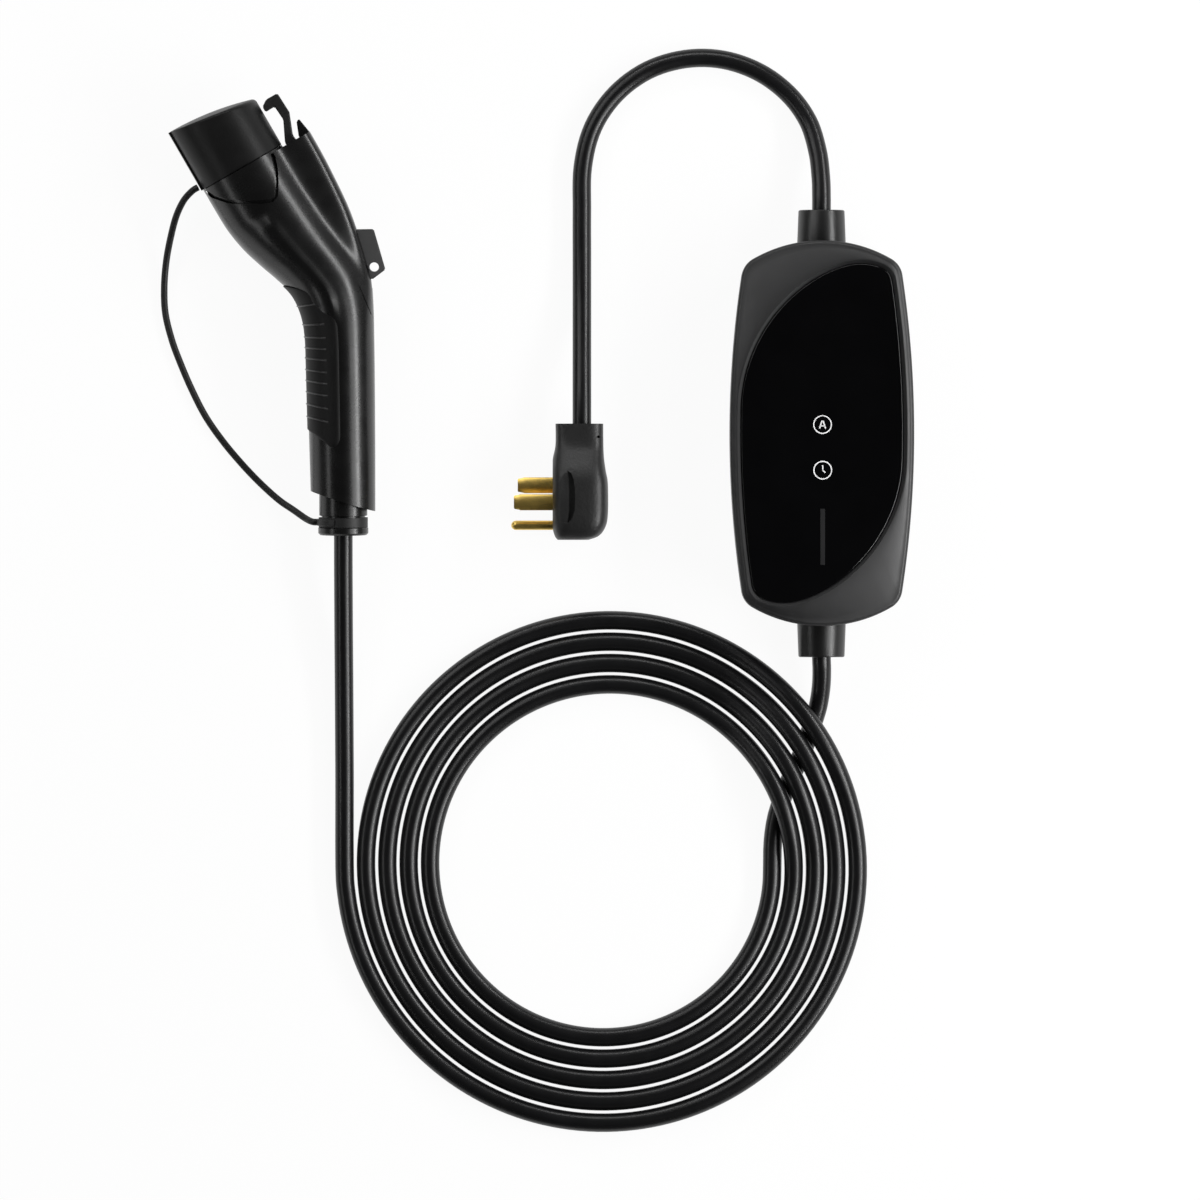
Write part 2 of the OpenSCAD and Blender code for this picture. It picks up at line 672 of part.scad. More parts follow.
// Section of the handle: an oval barrel with a narrower spine, blended by a power mean
function keyhole(a, r, w, reach, spine_w) =
    let (c = cos(a), s = abs(sin(a)), barrel = 1 / sqrt((c / r) ^ 2 + (s / w) ^ 2),
         length = max((max(reach, r) ^ BLEND - r ^ BLEND), 1) ^ (1 / BLEND),
         spine = c <= 0 ? 0 : ((c / length) ^ 6 + (s / spine_w) ^ 6) ^ (-1 / 6))
    (barrel ^ BLEND + spine ^ BLEND) ^ (1 / BLEND);
function handle_point(row, a, inset) =
    let (l = [row[0], row[1]], r = [row[2], row[3]], chord = norm(r - l), e = (r - l) / chord,
         rho = keyhole(a, row[4] - inset, row[5] - inset, chord - row[4] - inset, row[6] - inset),
         p = l + (row[4] + rho * cos(a)) * e)
    [p[0], p[1], rho * sin(a)];
function half_angle(k) = 180 * (k / HALF_STEPS) ^ 1.5;
function half_ring(t) = let (row = smooth(HANDLE, t)) concat(
    [for (k = [HALF_STEPS:-1:0]) handle_point(row, half_angle(k), 0)],
    [for (k = [0:HALF_STEPS]) handle_point(row, half_angle(k), handle_wall)]);

// Half section through the middle of the wall, where the bosses end
function mid_ring(t) = let (row = smooth(HANDLE, t))
    [for (k = [HALF_STEPS:-1:0]) handle_point(row, half_angle(k), handle_wall / 2)];

module flat_part(points, w) {
    translate([0, 0, -w / 2]) linear_extrude(w) polygon(points);
}

// Half ring inside the tail of a handle shell, which holds the rim of the sleeve
module tail_wall(from, hole_r) {
    translate([tail_u, from, 0]) rotate([-90, 180, 0]) rotate_extrude(angle = 180)
        translate([hole_r, 0]) square([tail_wall_r - hole_r, tail_wall_t]);
}

// Half of the handle on the camera's side, with its bosses and the cuts for the latch
module handle_half() {
    difference() {
        union() {
            loft([for (t = [0:1 / SPAN_STEPS:len(HANDLE) - 1]) half_ring(t)], "strip");
            translate([pivot[0], pivot[1], 8.2]) cylinder(r = pivot_boss_r, h = 1.4);
            linear_extrude(fin_w) polygon(FIN);
            intersection() {
                for (p = SCREWS) translate([p[0], p[1], 0]) cylinder(r = handle_boss_r, h = 2 * barrel_r);
                loft([for (t = [0:1 / SPAN_STEPS:len(HANDLE) - 1]) mid_ring(t)]);
            }
            tail_wall(rim_from - tail_wall_t, sleeve_r + slip);
            tail_wall(rim_to, clamp_r + slip);
        }
        flat_part(WINDOW, lever_w + 2 * loose);
        flat_part(INSERT, lever_w + 2 * loose);
        translate([pivot[0], pivot[1], -cut]) cylinder(r = pivot_r + fit, h = pivot_reach + cut);
    }
}

module near_shell() {
    color([0.08, 0.08, 0.08]) on_gun() difference() {
        handle_half();
        for (p = SCREWS) translate([p[0], p[1], -cut]) cylinder(r = screw_r, h = handle_screw_to + 2 * cut);
    }
}

module far_shell() {
    color([0.08, 0.08, 0.08]) on_gun() mirror([0, 0, 1]) difference() {
        handle_half();
        for (p = SCREWS) translate([p[0], p[1], -cut]) {
            cylinder(r = screw_r + slip, h = 40);
            translate([0, 0, handle_screw_from + cut]) cylinder(r = screw_head_r + slip, h = 30);
        }
    }
}

module handle_screws() {
    color("silver") on_gun() for (p = SCREWS) translate([p[0], p[1], 0])
        screw(-handle_screw_from - screw_head_h, handle_screw_to, screw_head_r, screw_head_h, screw_r - fit);
}

// Grip inset: a rubber skin round the finger side, with ribs across it
function grip_reach(t) =
    let (foot = max(0, 1 - (t - grip_from) / grip_foot), top = max(0, (t - 3.4) / (grip_to - 3.4)))
    grip_half * (1 - 0.2 * (1 - sqrt(1 - foot ^ 2))) * sqrt(max(1 - top ^ 2, 0.004));
function grip_ring(t, rib) =
    let (row = smooth(HANDLE, t), half = grip_reach(t))
    concat([for (k = [0:GRIP_STEPS]) grip_point(row, 180 - half + 2 * half * k / GRIP_STEPS, grip_t
            + rib * max(0, cos(1.3 * half * (2 * k / GRIP_STEPS - 1))))],
        [for (k = [GRIP_STEPS:-1:0]) grip_point(row, 180 - half + 2 * half * k / GRIP_STEPS, facet_gap)]);
function grip_point(row, a, out) = let (p = handle_point(row, a <= 180 ? a : 360 - a, -out))
    [p[0], p[1], a <= 180 ? p[2] : -p[2]];

module grip_inset() {
    places = concat(rib_at, [grip_to]);
    ribs = [for (i = [0:len(rib_at) - 1]) let (t = places[i], room = places[i + 1] - t) each concat(
        [[t - 2 * rib_half_w, 0], [t - rib_half_w, rib_h], [t + rib_half_w, rib_h], [t + 2 * rib_half_w, 0]],
        [for (f = [0.25, 0.5, 0.75]) if (room > 0.45) [t + f * room, 0]])];
    below = [for (f = [0, 0.15, 0.5, 1]) [grip_from + f * grip_foot, 0]];
    above = [for (f = [0.12, 0.05, 0]) [grip_to - f, 0]];
    color([0.04, 0.04, 0.04]) on_gun()
        loft([for (row = concat(below, ribs, above)) grip_ring(row[0], row[1])], "strip");
}

// Nose frame: z runs out along the nose, x points to the spine
module on_nose() {
    on_gun() translate([nose_at[0], nose_at[1], 0]) rotate([0, 0, nose_turn]) rotate([-90, 0, 0]) children();
}

module contact_places(grow) {
    for (s = [-1, 1]) translate([line_at[0], s * line_at[1]]) circle(r = line_r + grow);
    translate(earth_at) circle(r = earth_r + grow);
    for (s = [-1, 1]) translate([signal_at[0], s * signal_at[1]]) circle(r = signal_r + grow);
}

// Tongue of the collar, seen from the side of the connector
TONGUE = [[-22.5, collar_l], [-20.5, -3], [-15, -9], [-7, -14.6], [1, -18.6], [5.4, -20.4], [8, -19.6],
    [11, -14.6], [14.4, -8], [16.4, -2], [16.8, collar_l]];

// Nose: a tube in front of the handle, with a thinner root inside the shells
module nose() {
    inner = nose_r - nose_wall;
    root = nose_r - facet_gap;
    color([0.07, 0.07, 0.07]) on_nose() rotate_extrude() polygon([
        [inner, -nose_back], [root, -nose_back], [root, 0], [nose_r, 0],
        [nose_r, collar_l + nose_l], [inner, collar_l + nose_l]]);
}

// Core: the insulator inside the nose, which holds the contacts
module nose_core() {
    color([0.07, 0.07, 0.07]) on_nose() translate([0, 0, -nose_back]) linear_extrude(nose_back + core_l)
        difference() {
            circle(r = nose_r - nose_wall - fit);
            contact_places(fit);
        }
}

// Collar: a ring in front of the handle and two tongues that lie on its flanks
module collar() {
    tongue_r = barrel_r + slip;
    color([0.07, 0.07, 0.07]) on_nose() {
        difference() {
            cylinder(r = cap_r, h = collar_l);
            translate([0, 0, -cut]) cylinder(r = nose_r + fit, h = collar_l + 2 * cut);
        }
        intersection() {
            difference() {
                translate([0, 0, -22]) cylinder(r = tongue_r + collar_t, h = 22 + collar_l);
                translate([0, 0, -22 - cut]) cylinder(r = tongue_r, h = 22 + cut);
                cylinder(r = nose_r + fit, h = collar_l + cut);
            }
            rotate([90, 0, 0]) flat_part(TONGUE, 3 * nose_d);
        }
    }
}

module contact_plate() {
    color("ivory") on_nose() translate([0, 0, -nose_back - plate_t]) linear_extrude(plate_t) difference() {
        circle(r = nose_r - 1);
        contact_places(fit);
    }
}

// Contact: a sleeve with a mouth at the front and a wire cup at the back
module contact(at, r, mouth_r) {
    color("gold") on_nose() translate([at[0], at[1], -contact_back]) difference() {
        cylinder(r = r, h = contact_back + contact_front);
        translate([0, 0, contact_back + contact_front - 16]) cylinder(r = mouth_r, h = 16 + cut);
        translate([0, 0, -cut]) cylinder(r = r - 0.9, h = 7 + cut);
    }
}

module line_contact_1() {
    contact(line_at, line_r, 1.8);
}

module line_contact_2() {
    contact([line_at[0], -line_at[1]], line_r, 1.8);
}

module earth_contact() {
    contact(earth_at, earth_r, 1.4);
}

module pilot_contact() {
    contact(signal_at, signal_r, 0.75);
}

module proximity_contact() {
    contact([signal_at[0], -signal_at[1]], signal_r, 0.75);
}

// Lever: hook at the front, boss round the pin and a tenon at the back for the thumb tab
module latch_lever() {
    color([0.06, 0.06, 0.06]) on_gun() difference() {
        union() {
            flat_part(LEVER, lever_w);
            flat_part(TENON, tenon_w);
            translate([pivot[0], pivot[1], -lever_w / 2]) cylinder(r = lever_boss_r, h = lever_w);
        }
        translate([pivot[0], pivot[1], -lever_w]) cylinder(r = pivot_r + fit, h = 2 * lever_w);
    }
}

// Thumb tab: pressed onto the lever's tenon, with a hole for a padlock
module thumb_tab() {
    color([0.06, 0.06, 0.06]) on_gun() difference() {
        flat_part(TAB, lever_w);
        flat_part(TENON, tenon_w + 2 * fit);
        translate([padlock_at[0], padlock_at[1], -lever_w]) cylinder(r = padlock_r, h = 2 * lever_w);
    }
}

module latch_pin() {
    color("silver") on_gun() translate([pivot[0], pivot[1], -pivot_reach + fit])
        cylinder(r = pivot_r, h = 2 * (pivot_reach - fit));
}

// Spring: a few turns round the pin, with a leg along the lever and a leg along the shell
module latch_spring() {
    from = lever_w / 2 + spring_wire_r + fit;
    rise = 2.2 * spring_wire_r;
    turns = [for (k = [0:10 * spring_turns]) let (a = -50 + 36 * k)
        [pivot[0] + spring_r * cos(a), pivot[1] + spring_r * sin(a), from + rise * k / 10]];
    first = turns[0] + spring_leg * [cos(-140), sin(-140), 0];
    last = turns[len(turns) - 1] + spring_stub * [cos(40), sin(40), 0];
    color("silver") on_gun() tube(concat([first], turns, [last]), spring_wire_r, 6);
}

module latch_switch() {
    color("darkred") on_nose() {
        translate([switch_from, -switch_size[1] / 2, -nose_back - plate_t - switch_size[2]])
            cube(switch_size);
        translate([switch_from + switch_size[0], 0, -nose_back - plate_t - switch_size[2] / 2])
            rotate([0, 90, 0]) cylinder(r = plunger_r, h = 1.8);
    }
}

module slot_insert() {
    color([0.06, 0.06, 0.06]) on_gun() flat_part(INSERT, lever_w + 2 * loose - 2 * fit);
}

module on_tail() {
    on_gun() translate([tail_u, 0, 0]) rotate([-90, 0, 0]) children();
}

module tail_sleeve() {
    color([0.07, 0.07, 0.07]) on_tail() rotate_extrude() polygon([
        [cord_bore_r, ring_to], [ring_r, ring_to], [ring_r, sleeve_from - 0.3], [sleeve_r, sleeve_from],
        [sleeve_r, rim_from], [sleeve_r + 1.6, rim_from], [sleeve_r + 1.6, rim_to], [clamp_r, rim_to],
        [clamp_r - 0.6, clamp_to], [cord_bore_r, clamp_to]]);
}

module tail_nut() {
    color([0.07, 0.07, 0.07]) on_tail() rotate_extrude() polygon([
        [cord_bore_r, nut_from], [flange_r - 1, nut_from], [flange_r, nut_from + 1],
        [flange_r, ring_from - 0.4], [flange_r - 0.4, ring_from], [ring_r - fit, ring_from],
        [ring_r - fit, ring_to], [cord_bore_r, ring_to]]);
}

module tether_ring() {
    color([0.05, 0.05, 0.05]) on_tail() translate([0, 0, ring_from + slip]) rotate_extrude()
        translate([ring_r + fit, 0]) square([1.5, ring_to - ring_from - 2 * slip]);
}

module tether_strap() {
    color([0.05, 0.05, 0.05]) tube(STRAP_ROUTE, strap_w / 2, 8);
}

// Dust cap: a cup with a domed end that slants towards the strip
module cap_dome(r) {
    side = cap_dome_r * sin(cap_slant);
    translate([-side, 0, cap_l - sqrt(cap_dome_r ^ 2 - (cap_r + side) ^ 2)]) sphere(r = r);
}

module dust_cap() {
    color([0.03, 0.03, 0.03]) on_nose() translate([0, 0, collar_l + slip]) difference() {
        intersection() {
            union() {
                cylinder(r = cap_r, h = 2 * cap_l);
                intersection() {
                    cylinder(r = cap_r + cap_strip_t, h = 2 * cap_l);
                    translate([-2 * cap_r, -cap_strip_w / 2, 0]) cube([2 * cap_r, cap_strip_w, 2 * cap_l]);
                }
            }
            cap_dome(cap_dome_r);
        }
        intersection() {
            translate([0, 0, -cut]) cylinder(r = cap_r - cap_wall, h = 2 * cap_l);
            cap_dome(cap_dome_r - cap_end);
        }
    }
}

front_shell();
rear_shell();
case_seal();
face_panel();
light_bar();
panel_board();
main_board();
relay_1();
relay_2();
leakage_sensor();
power_module();
input_terminals();
output_terminals();
upper_gland();
lower_gland();
case_screws();
board_screws();
mains_lead();
plug_body();
line_blade_1();
line_blade_2();
neutral_blade();
earth_pin();
charge_lead();
cable_coil();
charge_tail();
near_shell();
far_shell();
grip_inset();
nose();
nose_core();
collar();
contact_plate();
line_contact_1();
line_contact_2();
earth_contact();
pilot_contact();
proximity_contact();
latch_lever();
thumb_tab();
latch_pin();
latch_spring();
latch_switch();
slot_insert();
tail_sleeve();
tail_nut();
handle_screws();
tether_ring();
tether_strap();
dust_cap();
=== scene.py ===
import json
import math

import bmesh
import bpy
from mathutils import Matrix, Vector


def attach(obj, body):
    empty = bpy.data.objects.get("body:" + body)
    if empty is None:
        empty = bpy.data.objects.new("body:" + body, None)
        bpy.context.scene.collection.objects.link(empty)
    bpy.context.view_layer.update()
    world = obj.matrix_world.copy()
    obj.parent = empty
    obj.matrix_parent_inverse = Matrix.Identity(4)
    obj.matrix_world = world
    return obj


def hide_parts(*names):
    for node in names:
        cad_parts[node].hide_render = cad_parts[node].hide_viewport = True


# Looks of a portable car charger: control box, mains plug, coiled cable and handheld connector.
# Sizes are in millimetres unless a name ends in _M or _m; the box's back face is centred on the origin.
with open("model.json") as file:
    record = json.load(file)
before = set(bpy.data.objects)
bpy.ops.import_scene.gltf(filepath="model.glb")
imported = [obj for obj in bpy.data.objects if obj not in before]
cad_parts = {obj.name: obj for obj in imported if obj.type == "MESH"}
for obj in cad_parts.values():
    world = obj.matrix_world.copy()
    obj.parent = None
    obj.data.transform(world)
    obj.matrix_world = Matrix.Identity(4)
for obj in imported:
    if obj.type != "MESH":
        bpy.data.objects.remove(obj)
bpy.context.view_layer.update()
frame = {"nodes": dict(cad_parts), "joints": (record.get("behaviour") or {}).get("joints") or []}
scene = bpy.context.scene
MM = 0.001
BODY, LATCH, CAP = "charger", "latch", "cap"


# Materials
NOISE_LOW, NOISE_HIGH, TINT_LOW, TINT_HIGH = 0.3, 0.7, 0.35, 0.68


def node_material(name, color, rough, metallic=0.0, specular=0.5):
    """A Principled material with its node tree, its shader and its object coordinates."""
    mat = bpy.data.materials.new(name)
    mat.use_nodes = True
    nodes, links = mat.node_tree.nodes, mat.node_tree.links
    shader = nodes["Principled BSDF"]
    shader.inputs["Base Color"].default_value = (*color, 1)
    shader.inputs["Roughness"].default_value = rough
    shader.inputs["Metallic"].default_value = metallic
    shader.inputs["Specular IOR Level"].default_value = specular
    coords = nodes.new("ShaderNodeTexCoord").outputs["Object"]
    return mat, nodes, links, shader, coords


def noise(nodes, links, coords, size, detail, stretch=(1, 1, 1)):
    """Noise whose features are about this many millimetres wide."""
    spread = nodes.new("ShaderNodeMapping")
    spread.inputs["Scale"].default_value = stretch
    links.new(coords, spread.inputs["Vector"])
    tex = nodes.new("ShaderNodeTexNoise")
    tex.inputs["Scale"].default_value = 1 / (size * MM)
    tex.inputs["Detail"].default_value = detail
    links.new(spread.outputs["Vector"], tex.inputs["Vector"])
    return tex.outputs["Fac"]


def spread_to(nodes, links, value, low, high):
    """Map a noise value to a range."""
    node = nodes.new("ShaderNodeMapRange")
    node.inputs["From Min"].default_value = NOISE_LOW
    node.inputs["From Max"].default_value = NOISE_HIGH
    node.inputs["To Min"].default_value = low
    node.inputs["To Max"].default_value = high
    links.new(value, node.inputs["Value"])
    return node.outputs["Result"]


def tinted(nodes, links, value, dark, light):
    """Colour between two tones by a noise value."""
    ramp = nodes.new("ShaderNodeValToRGB")
    ramp.color_ramp.elements[0].position = TINT_LOW
    ramp.color_ramp.elements[0].color = (*dark, 1)
    ramp.color_ramp.elements[1].position = TINT_HIGH
    ramp.color_ramp.elements[1].color = (*light, 1)
    links.new(value, ramp.inputs["Fac"])
    return ramp.outputs["Color"]


def raised(nodes, links, shader, height, strength, depth):
    """Bump the surface by a noise value, to a depth in millimetres."""
    bump = nodes.new("ShaderNodeBump")
    bump.inputs["Strength"].default_value = strength
    bump.inputs["Distance"].default_value = depth * MM
    links.new(height, bump.inputs["Height"])
    links.new(bump.outputs["Normal"], shader.inputs["Normal"])


CLOUD_MM, CLOUD_DARK, CLOUD_LIGHT = 26, 0.86, 1.16
GLOSS_MM, GLOSS_LOW, GLOSS_HIGH, GRAIN_STRENGTH = 9, 0.93, 1.08, 0.6


def moulded(name, color, rough, grain, depth, specular=0.5):
    """Moulded plastic: fine spark-eroded grain, slow changes of tone and of gloss."""
    mat, nodes, links, shader, coords = node_material(name, color, rough, specular=specular)
    dark, light = [c * CLOUD_DARK for c in color], [c * CLOUD_LIGHT for c in color]
    cloud = noise(nodes, links, coords, CLOUD_MM, 3)
    links.new(tinted(nodes, links, cloud, dark, light), shader.inputs["Base Color"])
    gloss = noise(nodes, links, coords, GLOSS_MM, 4)
    links.new(spread_to(nodes, links, gloss, rough * GLOSS_LOW, rough * GLOSS_HIGH),
              shader.inputs["Roughness"])
    raised(nodes, links, shader, noise(nodes, links, coords, grain, 2), GRAIN_STRENGTH, depth)
    return mat


PATCH_MM, PATCH_TONE = 3, 0.82
SCRATCH_MM, SCRATCH_LOW, SCRATCH_HIGH, SCRATCH_STRENGTH, SCRATCH_DEEP = 0.5, 0.7, 1.35, 0.35, 0.01


def metal(name, color, rough, along=(1, 1, 1)):
    """Drawn metal: fine scratches along one way, with darker patches."""
    mat, nodes, links, shader, coords = node_material(name, color, rough, metallic=1.0)
    patch = noise(nodes, links, coords, PATCH_MM, 3)
    dark = [c * PATCH_TONE for c in color]
    links.new(tinted(nodes, links, patch, dark, color), shader.inputs["Base Color"])
    fine = noise(nodes, links, coords, SCRATCH_MM, 2, along)
    links.new(spread_to(nodes, links, fine, rough * SCRATCH_LOW, rough * SCRATCH_HIGH),
              shader.inputs["Roughness"])
    raised(nodes, links, shader, fine, SCRATCH_STRENGTH, SCRATCH_DEEP)
    return mat


case_black = moulded("case_black", (0.011, 0.011, 0.0115), 0.44, 0.9, 0.025)
panel_black = moulded("panel_black", (0.0014, 0.0014, 0.0016), 0.07, 3.0, 0.0015)
mark_white = moulded("mark_white", (0.86, 0.86, 0.86), 0.5, 0.4, 0.004)
bar_grey = moulded("bar_grey", (0.013, 0.013, 0.0135), 0.35, 0.4, 0.01)
gland_black = moulded("gland_black", (0.006, 0.006, 0.006), 0.34, 1.0, 0.06)
handle_black = moulded("handle_black", (0.004, 0.004, 0.004), 0.27, 0.6, 0.012, specular=0.45)
lever_black = moulded("lever_black", (0.007, 0.007, 0.007), 0.42, 0.4, 0.02)
tab_black = moulded("tab_black", (0.034, 0.034, 0.034), 0.55, 0.9, 0.05)
grip_black = moulded("grip_black", (0.004, 0.004, 0.004), 0.5, 0.8, 0.04, specular=0.18)
rib_black = moulded("rib_black", (0.012, 0.012, 0.012), 0.34, 0.5, 0.01)
cap_black = moulded("cap_black", (0.004, 0.004, 0.004), 0.42, 1.4, 0.05, specular=0.22)
plug_black = moulded("plug_black", (0.009, 0.009, 0.009), 0.44, 1.5, 0.22, specular=0.45)
cable_black = moulded("cable_black", (0.004, 0.004, 0.0044), 0.31, 0.8, 0.01, specular=0.4)
strap_black = moulded("strap_black", (0.007, 0.007, 0.007), 0.48, 0.4, 0.02, specular=0.35)
seal_black = moulded("seal_black", (0.012, 0.012, 0.012), 0.7, 0.5, 0.03)
board_green = moulded("board_green", (0.015, 0.12, 0.05), 0.4, 1.2, 0.03)
part_dark = moulded("part_dark", (0.02, 0.02, 0.025), 0.45, 0.6, 0.02)
part_blue = moulded("part_blue", (0.02, 0.04, 0.16), 0.4, 0.6, 0.02)
part_green = moulded("part_green", (0.03, 0.28, 0.1), 0.45, 0.6, 0.02)
part_red = moulded("part_red", (0.28, 0.02, 0.02), 0.45, 0.6, 0.02)
core_ochre = moulded("core_ochre", (0.42, 0.24, 0.04), 0.5, 1.0, 0.05)
plate_ivory = moulded("plate_ivory", (0.62, 0.6, 0.52), 0.5, 0.5, 0.02)
brass = metal("brass", (0.9, 0.63, 0.17), 0.32, (1, 9, 9))
contact_brass = metal("contact_brass", (0.78, 0.56, 0.22), 0.26)
steel = metal("steel", (0.56, 0.56, 0.58), 0.32)

CAD_FINISH = {
    "front_shell": case_black, "rear_shell": case_black, "case_seal": seal_black, "face_panel": panel_black,
    "light_bar": bar_grey, "panel_board": board_green, "main_board": board_green, "relay_1": part_blue,
    "relay_2": part_blue, "leakage_sensor": core_ochre, "power_module": part_dark,
    "input_terminals": part_green, "output_terminals": part_green, "case_screws": steel,
    "board_screws": steel, "handle_screws": steel, "latch_pin": steel, "latch_spring": steel,
    "latch_switch": part_red, "contact_plate": plate_ivory, "line_contact_1": contact_brass,
    "line_contact_2": contact_brass, "earth_contact": contact_brass, "pilot_contact": contact_brass,
    "proximity_contact": contact_brass, "line_blade_1": brass, "line_blade_2": brass, "neutral_blade": brass,
    "earth_pin": brass, "plug_body": plug_black, "upper_gland": gland_black, "lower_gland": gland_black,
    "mains_lead": cable_black, "charge_lead": cable_black, "cable_coil": cable_black,
    "charge_tail": cable_black, "near_shell": handle_black, "far_shell": handle_black, "nose": handle_black,
    "nose_core": handle_black, "collar": handle_black, "slot_insert": handle_black,
    "tail_sleeve": handle_black, "tail_nut": handle_black, "grip_inset": grip_black,
    "latch_lever": lever_black, "thumb_tab": tab_black, "dust_cap": cap_black, "tether_ring": strap_black,
    "tether_strap": strap_black}
for node_name, finish in CAD_FINISH.items():
    mesh = frame["nodes"][node_name].data
    mesh.materials.clear()
    mesh.materials.append(finish)


# Mesh building
WELD, WELD_FINE = 0.002, 0.001


def placed(name, data):
    """New object in the scene."""
    obj = bpy.data.objects.new(name, data)
    scene.collection.objects.link(obj)
    return obj


def add_piece(name, bm, body, material, sharp=32):
    """Link a mesh as a piece of the object, smooth except across edges sharper than the angle."""
    bmesh.ops.remove_doubles(bm, verts=bm.verts, dist=WELD * MM)
    bmesh.ops.recalc_face_normals(bm, faces=bm.faces)
    for face in bm.faces:
        face.smooth = True
    for edge in bm.edges:
        edge.smooth = len(edge.link_faces) == 2 and edge.calc_face_angle() < math.radians(sharp)
    mesh = bpy.data.meshes.new(name)
    bm.to_mesh(mesh)
    bm.free()
    mesh.materials.append(material)
    piece = placed(name, mesh)
    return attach(piece, body)


def loft(rings, ends="flat"):
    """Skin over rings of points; ends is flat, open or loop."""
    bm = bmesh.new()
    rows = [[bm.verts.new(Vector(p) * MM) for p in ring] for ring in rings]
    n = len(rows[0])
    pairs = list(zip(rows, rows[1:]))
    if ends == "loop":
        pairs.append((rows[-1], rows[0]))
    for low, high in pairs:
        for j in range(n):
            k = (j + 1) % n
            bm.faces.new((low[j], low[k], high[k], high[j]))
    if ends == "flat":
        bm.faces.new(rows[0][::-1])
        bm.faces.new(rows[-1])
    return bm


def lathe(profile, steps=72):
    """Turn a closed profile of (radius, height) about the local z axis."""
    rings = []
    for j in range(steps):
        a = 2 * math.pi * j / steps
        rings.append([(r * math.cos(a), r * math.sin(a), z) for r, z in profile])
    bm = loft(rings, "loop")
    bmesh.ops.remove_doubles(bm, verts=bm.verts, dist=WELD_FINE * MM)
    return bm


def soften(bm, sharper, width, segments):
    """Round the edges that are sharper than an angle."""
    edges = [e for e in bm.edges if len(e.link_faces) == 2 and e.calc_face_angle() > math.radians(sharper)]
    bmesh.ops.bevel(bm, geom=edges, offset=width * MM, segments=segments, affect="EDGES", clamp_overlap=True)


def prism(points, low, high, bevel=0):
    """Flat outline made thick along z, with rounded edges."""
    bm = bmesh.new()
    face = bm.faces.new([bm.verts.new(Vector((x, y, low)) * MM) for x, y in points])
    made = bmesh.ops.extrude_face_region(bm, geom=[face])["geom"]
    raised_verts = [g for g in made if isinstance(g, bmesh.types.BMVert)]
    bmesh.ops.translate(bm, verts=raised_verts, vec=(0, 0, (high - low) * MM))
    bmesh.ops.recalc_face_normals(bm, faces=bm.faces)
    if bevel:
        soften(bm, 25, bevel, 3)
    return bm


def joined(*parts):
    """One mesh of several."""
    whole = parts[0]
    for part in parts[1:]:
        mesh = bpy.data.meshes.new("part")
        part.to_mesh(mesh)
        part.free()
        whole.from_mesh(mesh)
        bpy.data.meshes.remove(mesh)
    return whole


def moved(bm, matrix):
    """The same mesh, placed by a matrix."""
    bmesh.ops.transform(bm, matrix=matrix, verts=bm.verts)
    return bm


def shifted(bm, x, y, z=0):
    """The same mesh, moved by millimetres."""
    return moved(bm, Matrix.Translation(Vector((x, y, z)) * MM))


def rod(r, low, high, steps):
    """Solid round bar along z."""
    return lathe([(0, low), (r, low), (r, high), (0, high)], steps)


def tube(inner, outer, low, high, steps):
    """Plain ring along z."""
    return lathe([(inner, low), (outer, low), (outer, high), (inner, high)], steps)


def carve(bm, cutter, operation="DIFFERENCE"):
    """Cut one closed mesh with another."""
    made = []
    for part in (bm, cutter):
        bmesh.ops.remove_doubles(part, verts=part.verts, dist=WELD_FINE * MM)
        bmesh.ops.recalc_face_normals(part, faces=part.faces)
        mesh = bpy.data.meshes.new("carve")
        part.to_mesh(mesh)
        part.free()
        made.append(placed("carve", mesh))
    tool = made[0].modifiers.new("carve", "BOOLEAN")
    tool.operation = operation
    tool.object = made[1]
    tool.solver = "EXACT"
    bpy.context.view_layer.update()
    result = bmesh.new()
    result.from_object(made[0], bpy.context.evaluated_depsgraph_get())
    for obj in made:
        mesh = obj.data
        bpy.data.objects.remove(obj)
        bpy.data.meshes.remove(mesh)
    return result


def smooth_row(rows, t):
    """Point of a smooth curve through the rows of a table."""
    last = len(rows) - 1
    i = min(int(t), last - 1)
    f = t - i
    a, b, c, d = rows[max(i - 1, 0)], rows[i], rows[i + 1], rows[min(i + 2, last)]
    return [0.5 * (2 * q + (r - p) * f + (2 * p - 5 * q + 4 * r - s) * f ** 2
                   + (3 * q - p - 3 * r + s) * f ** 3) for p, q, r, s in zip(a, b, c, d)]


def smooth_route(points, steps=6):
    """Points of a smooth curve through a route."""
    count = (len(points) - 1) * steps
    return [smooth_row(points, k / steps) for k in range(count + 1)]


def cable(name, points, diameter, material):
    """Round cord along points, as a curve of one spline."""
    curve = bpy.data.curves.new(name, "CURVE")
    curve.dimensions = "3D"
    curve.bevel_depth = diameter / 2 * MM
    curve.bevel_resolution = 7
    curve.use_fill_caps = True
    spline = curve.splines.new("POLY")
    spline.points.add(len(points) - 1)
    for point, p in zip(spline.points, points):
        point.co = (*(Vector(p) * MM), 1)
    spline.use_smooth = True
    curve.materials.append(material)
    piece = placed(name, curve)
    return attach(piece, BODY)


def direction(degrees):
    """Unit vector in the plane."""
    return Vector((math.cos(math.radians(degrees)), math.sin(math.radians(degrees))))


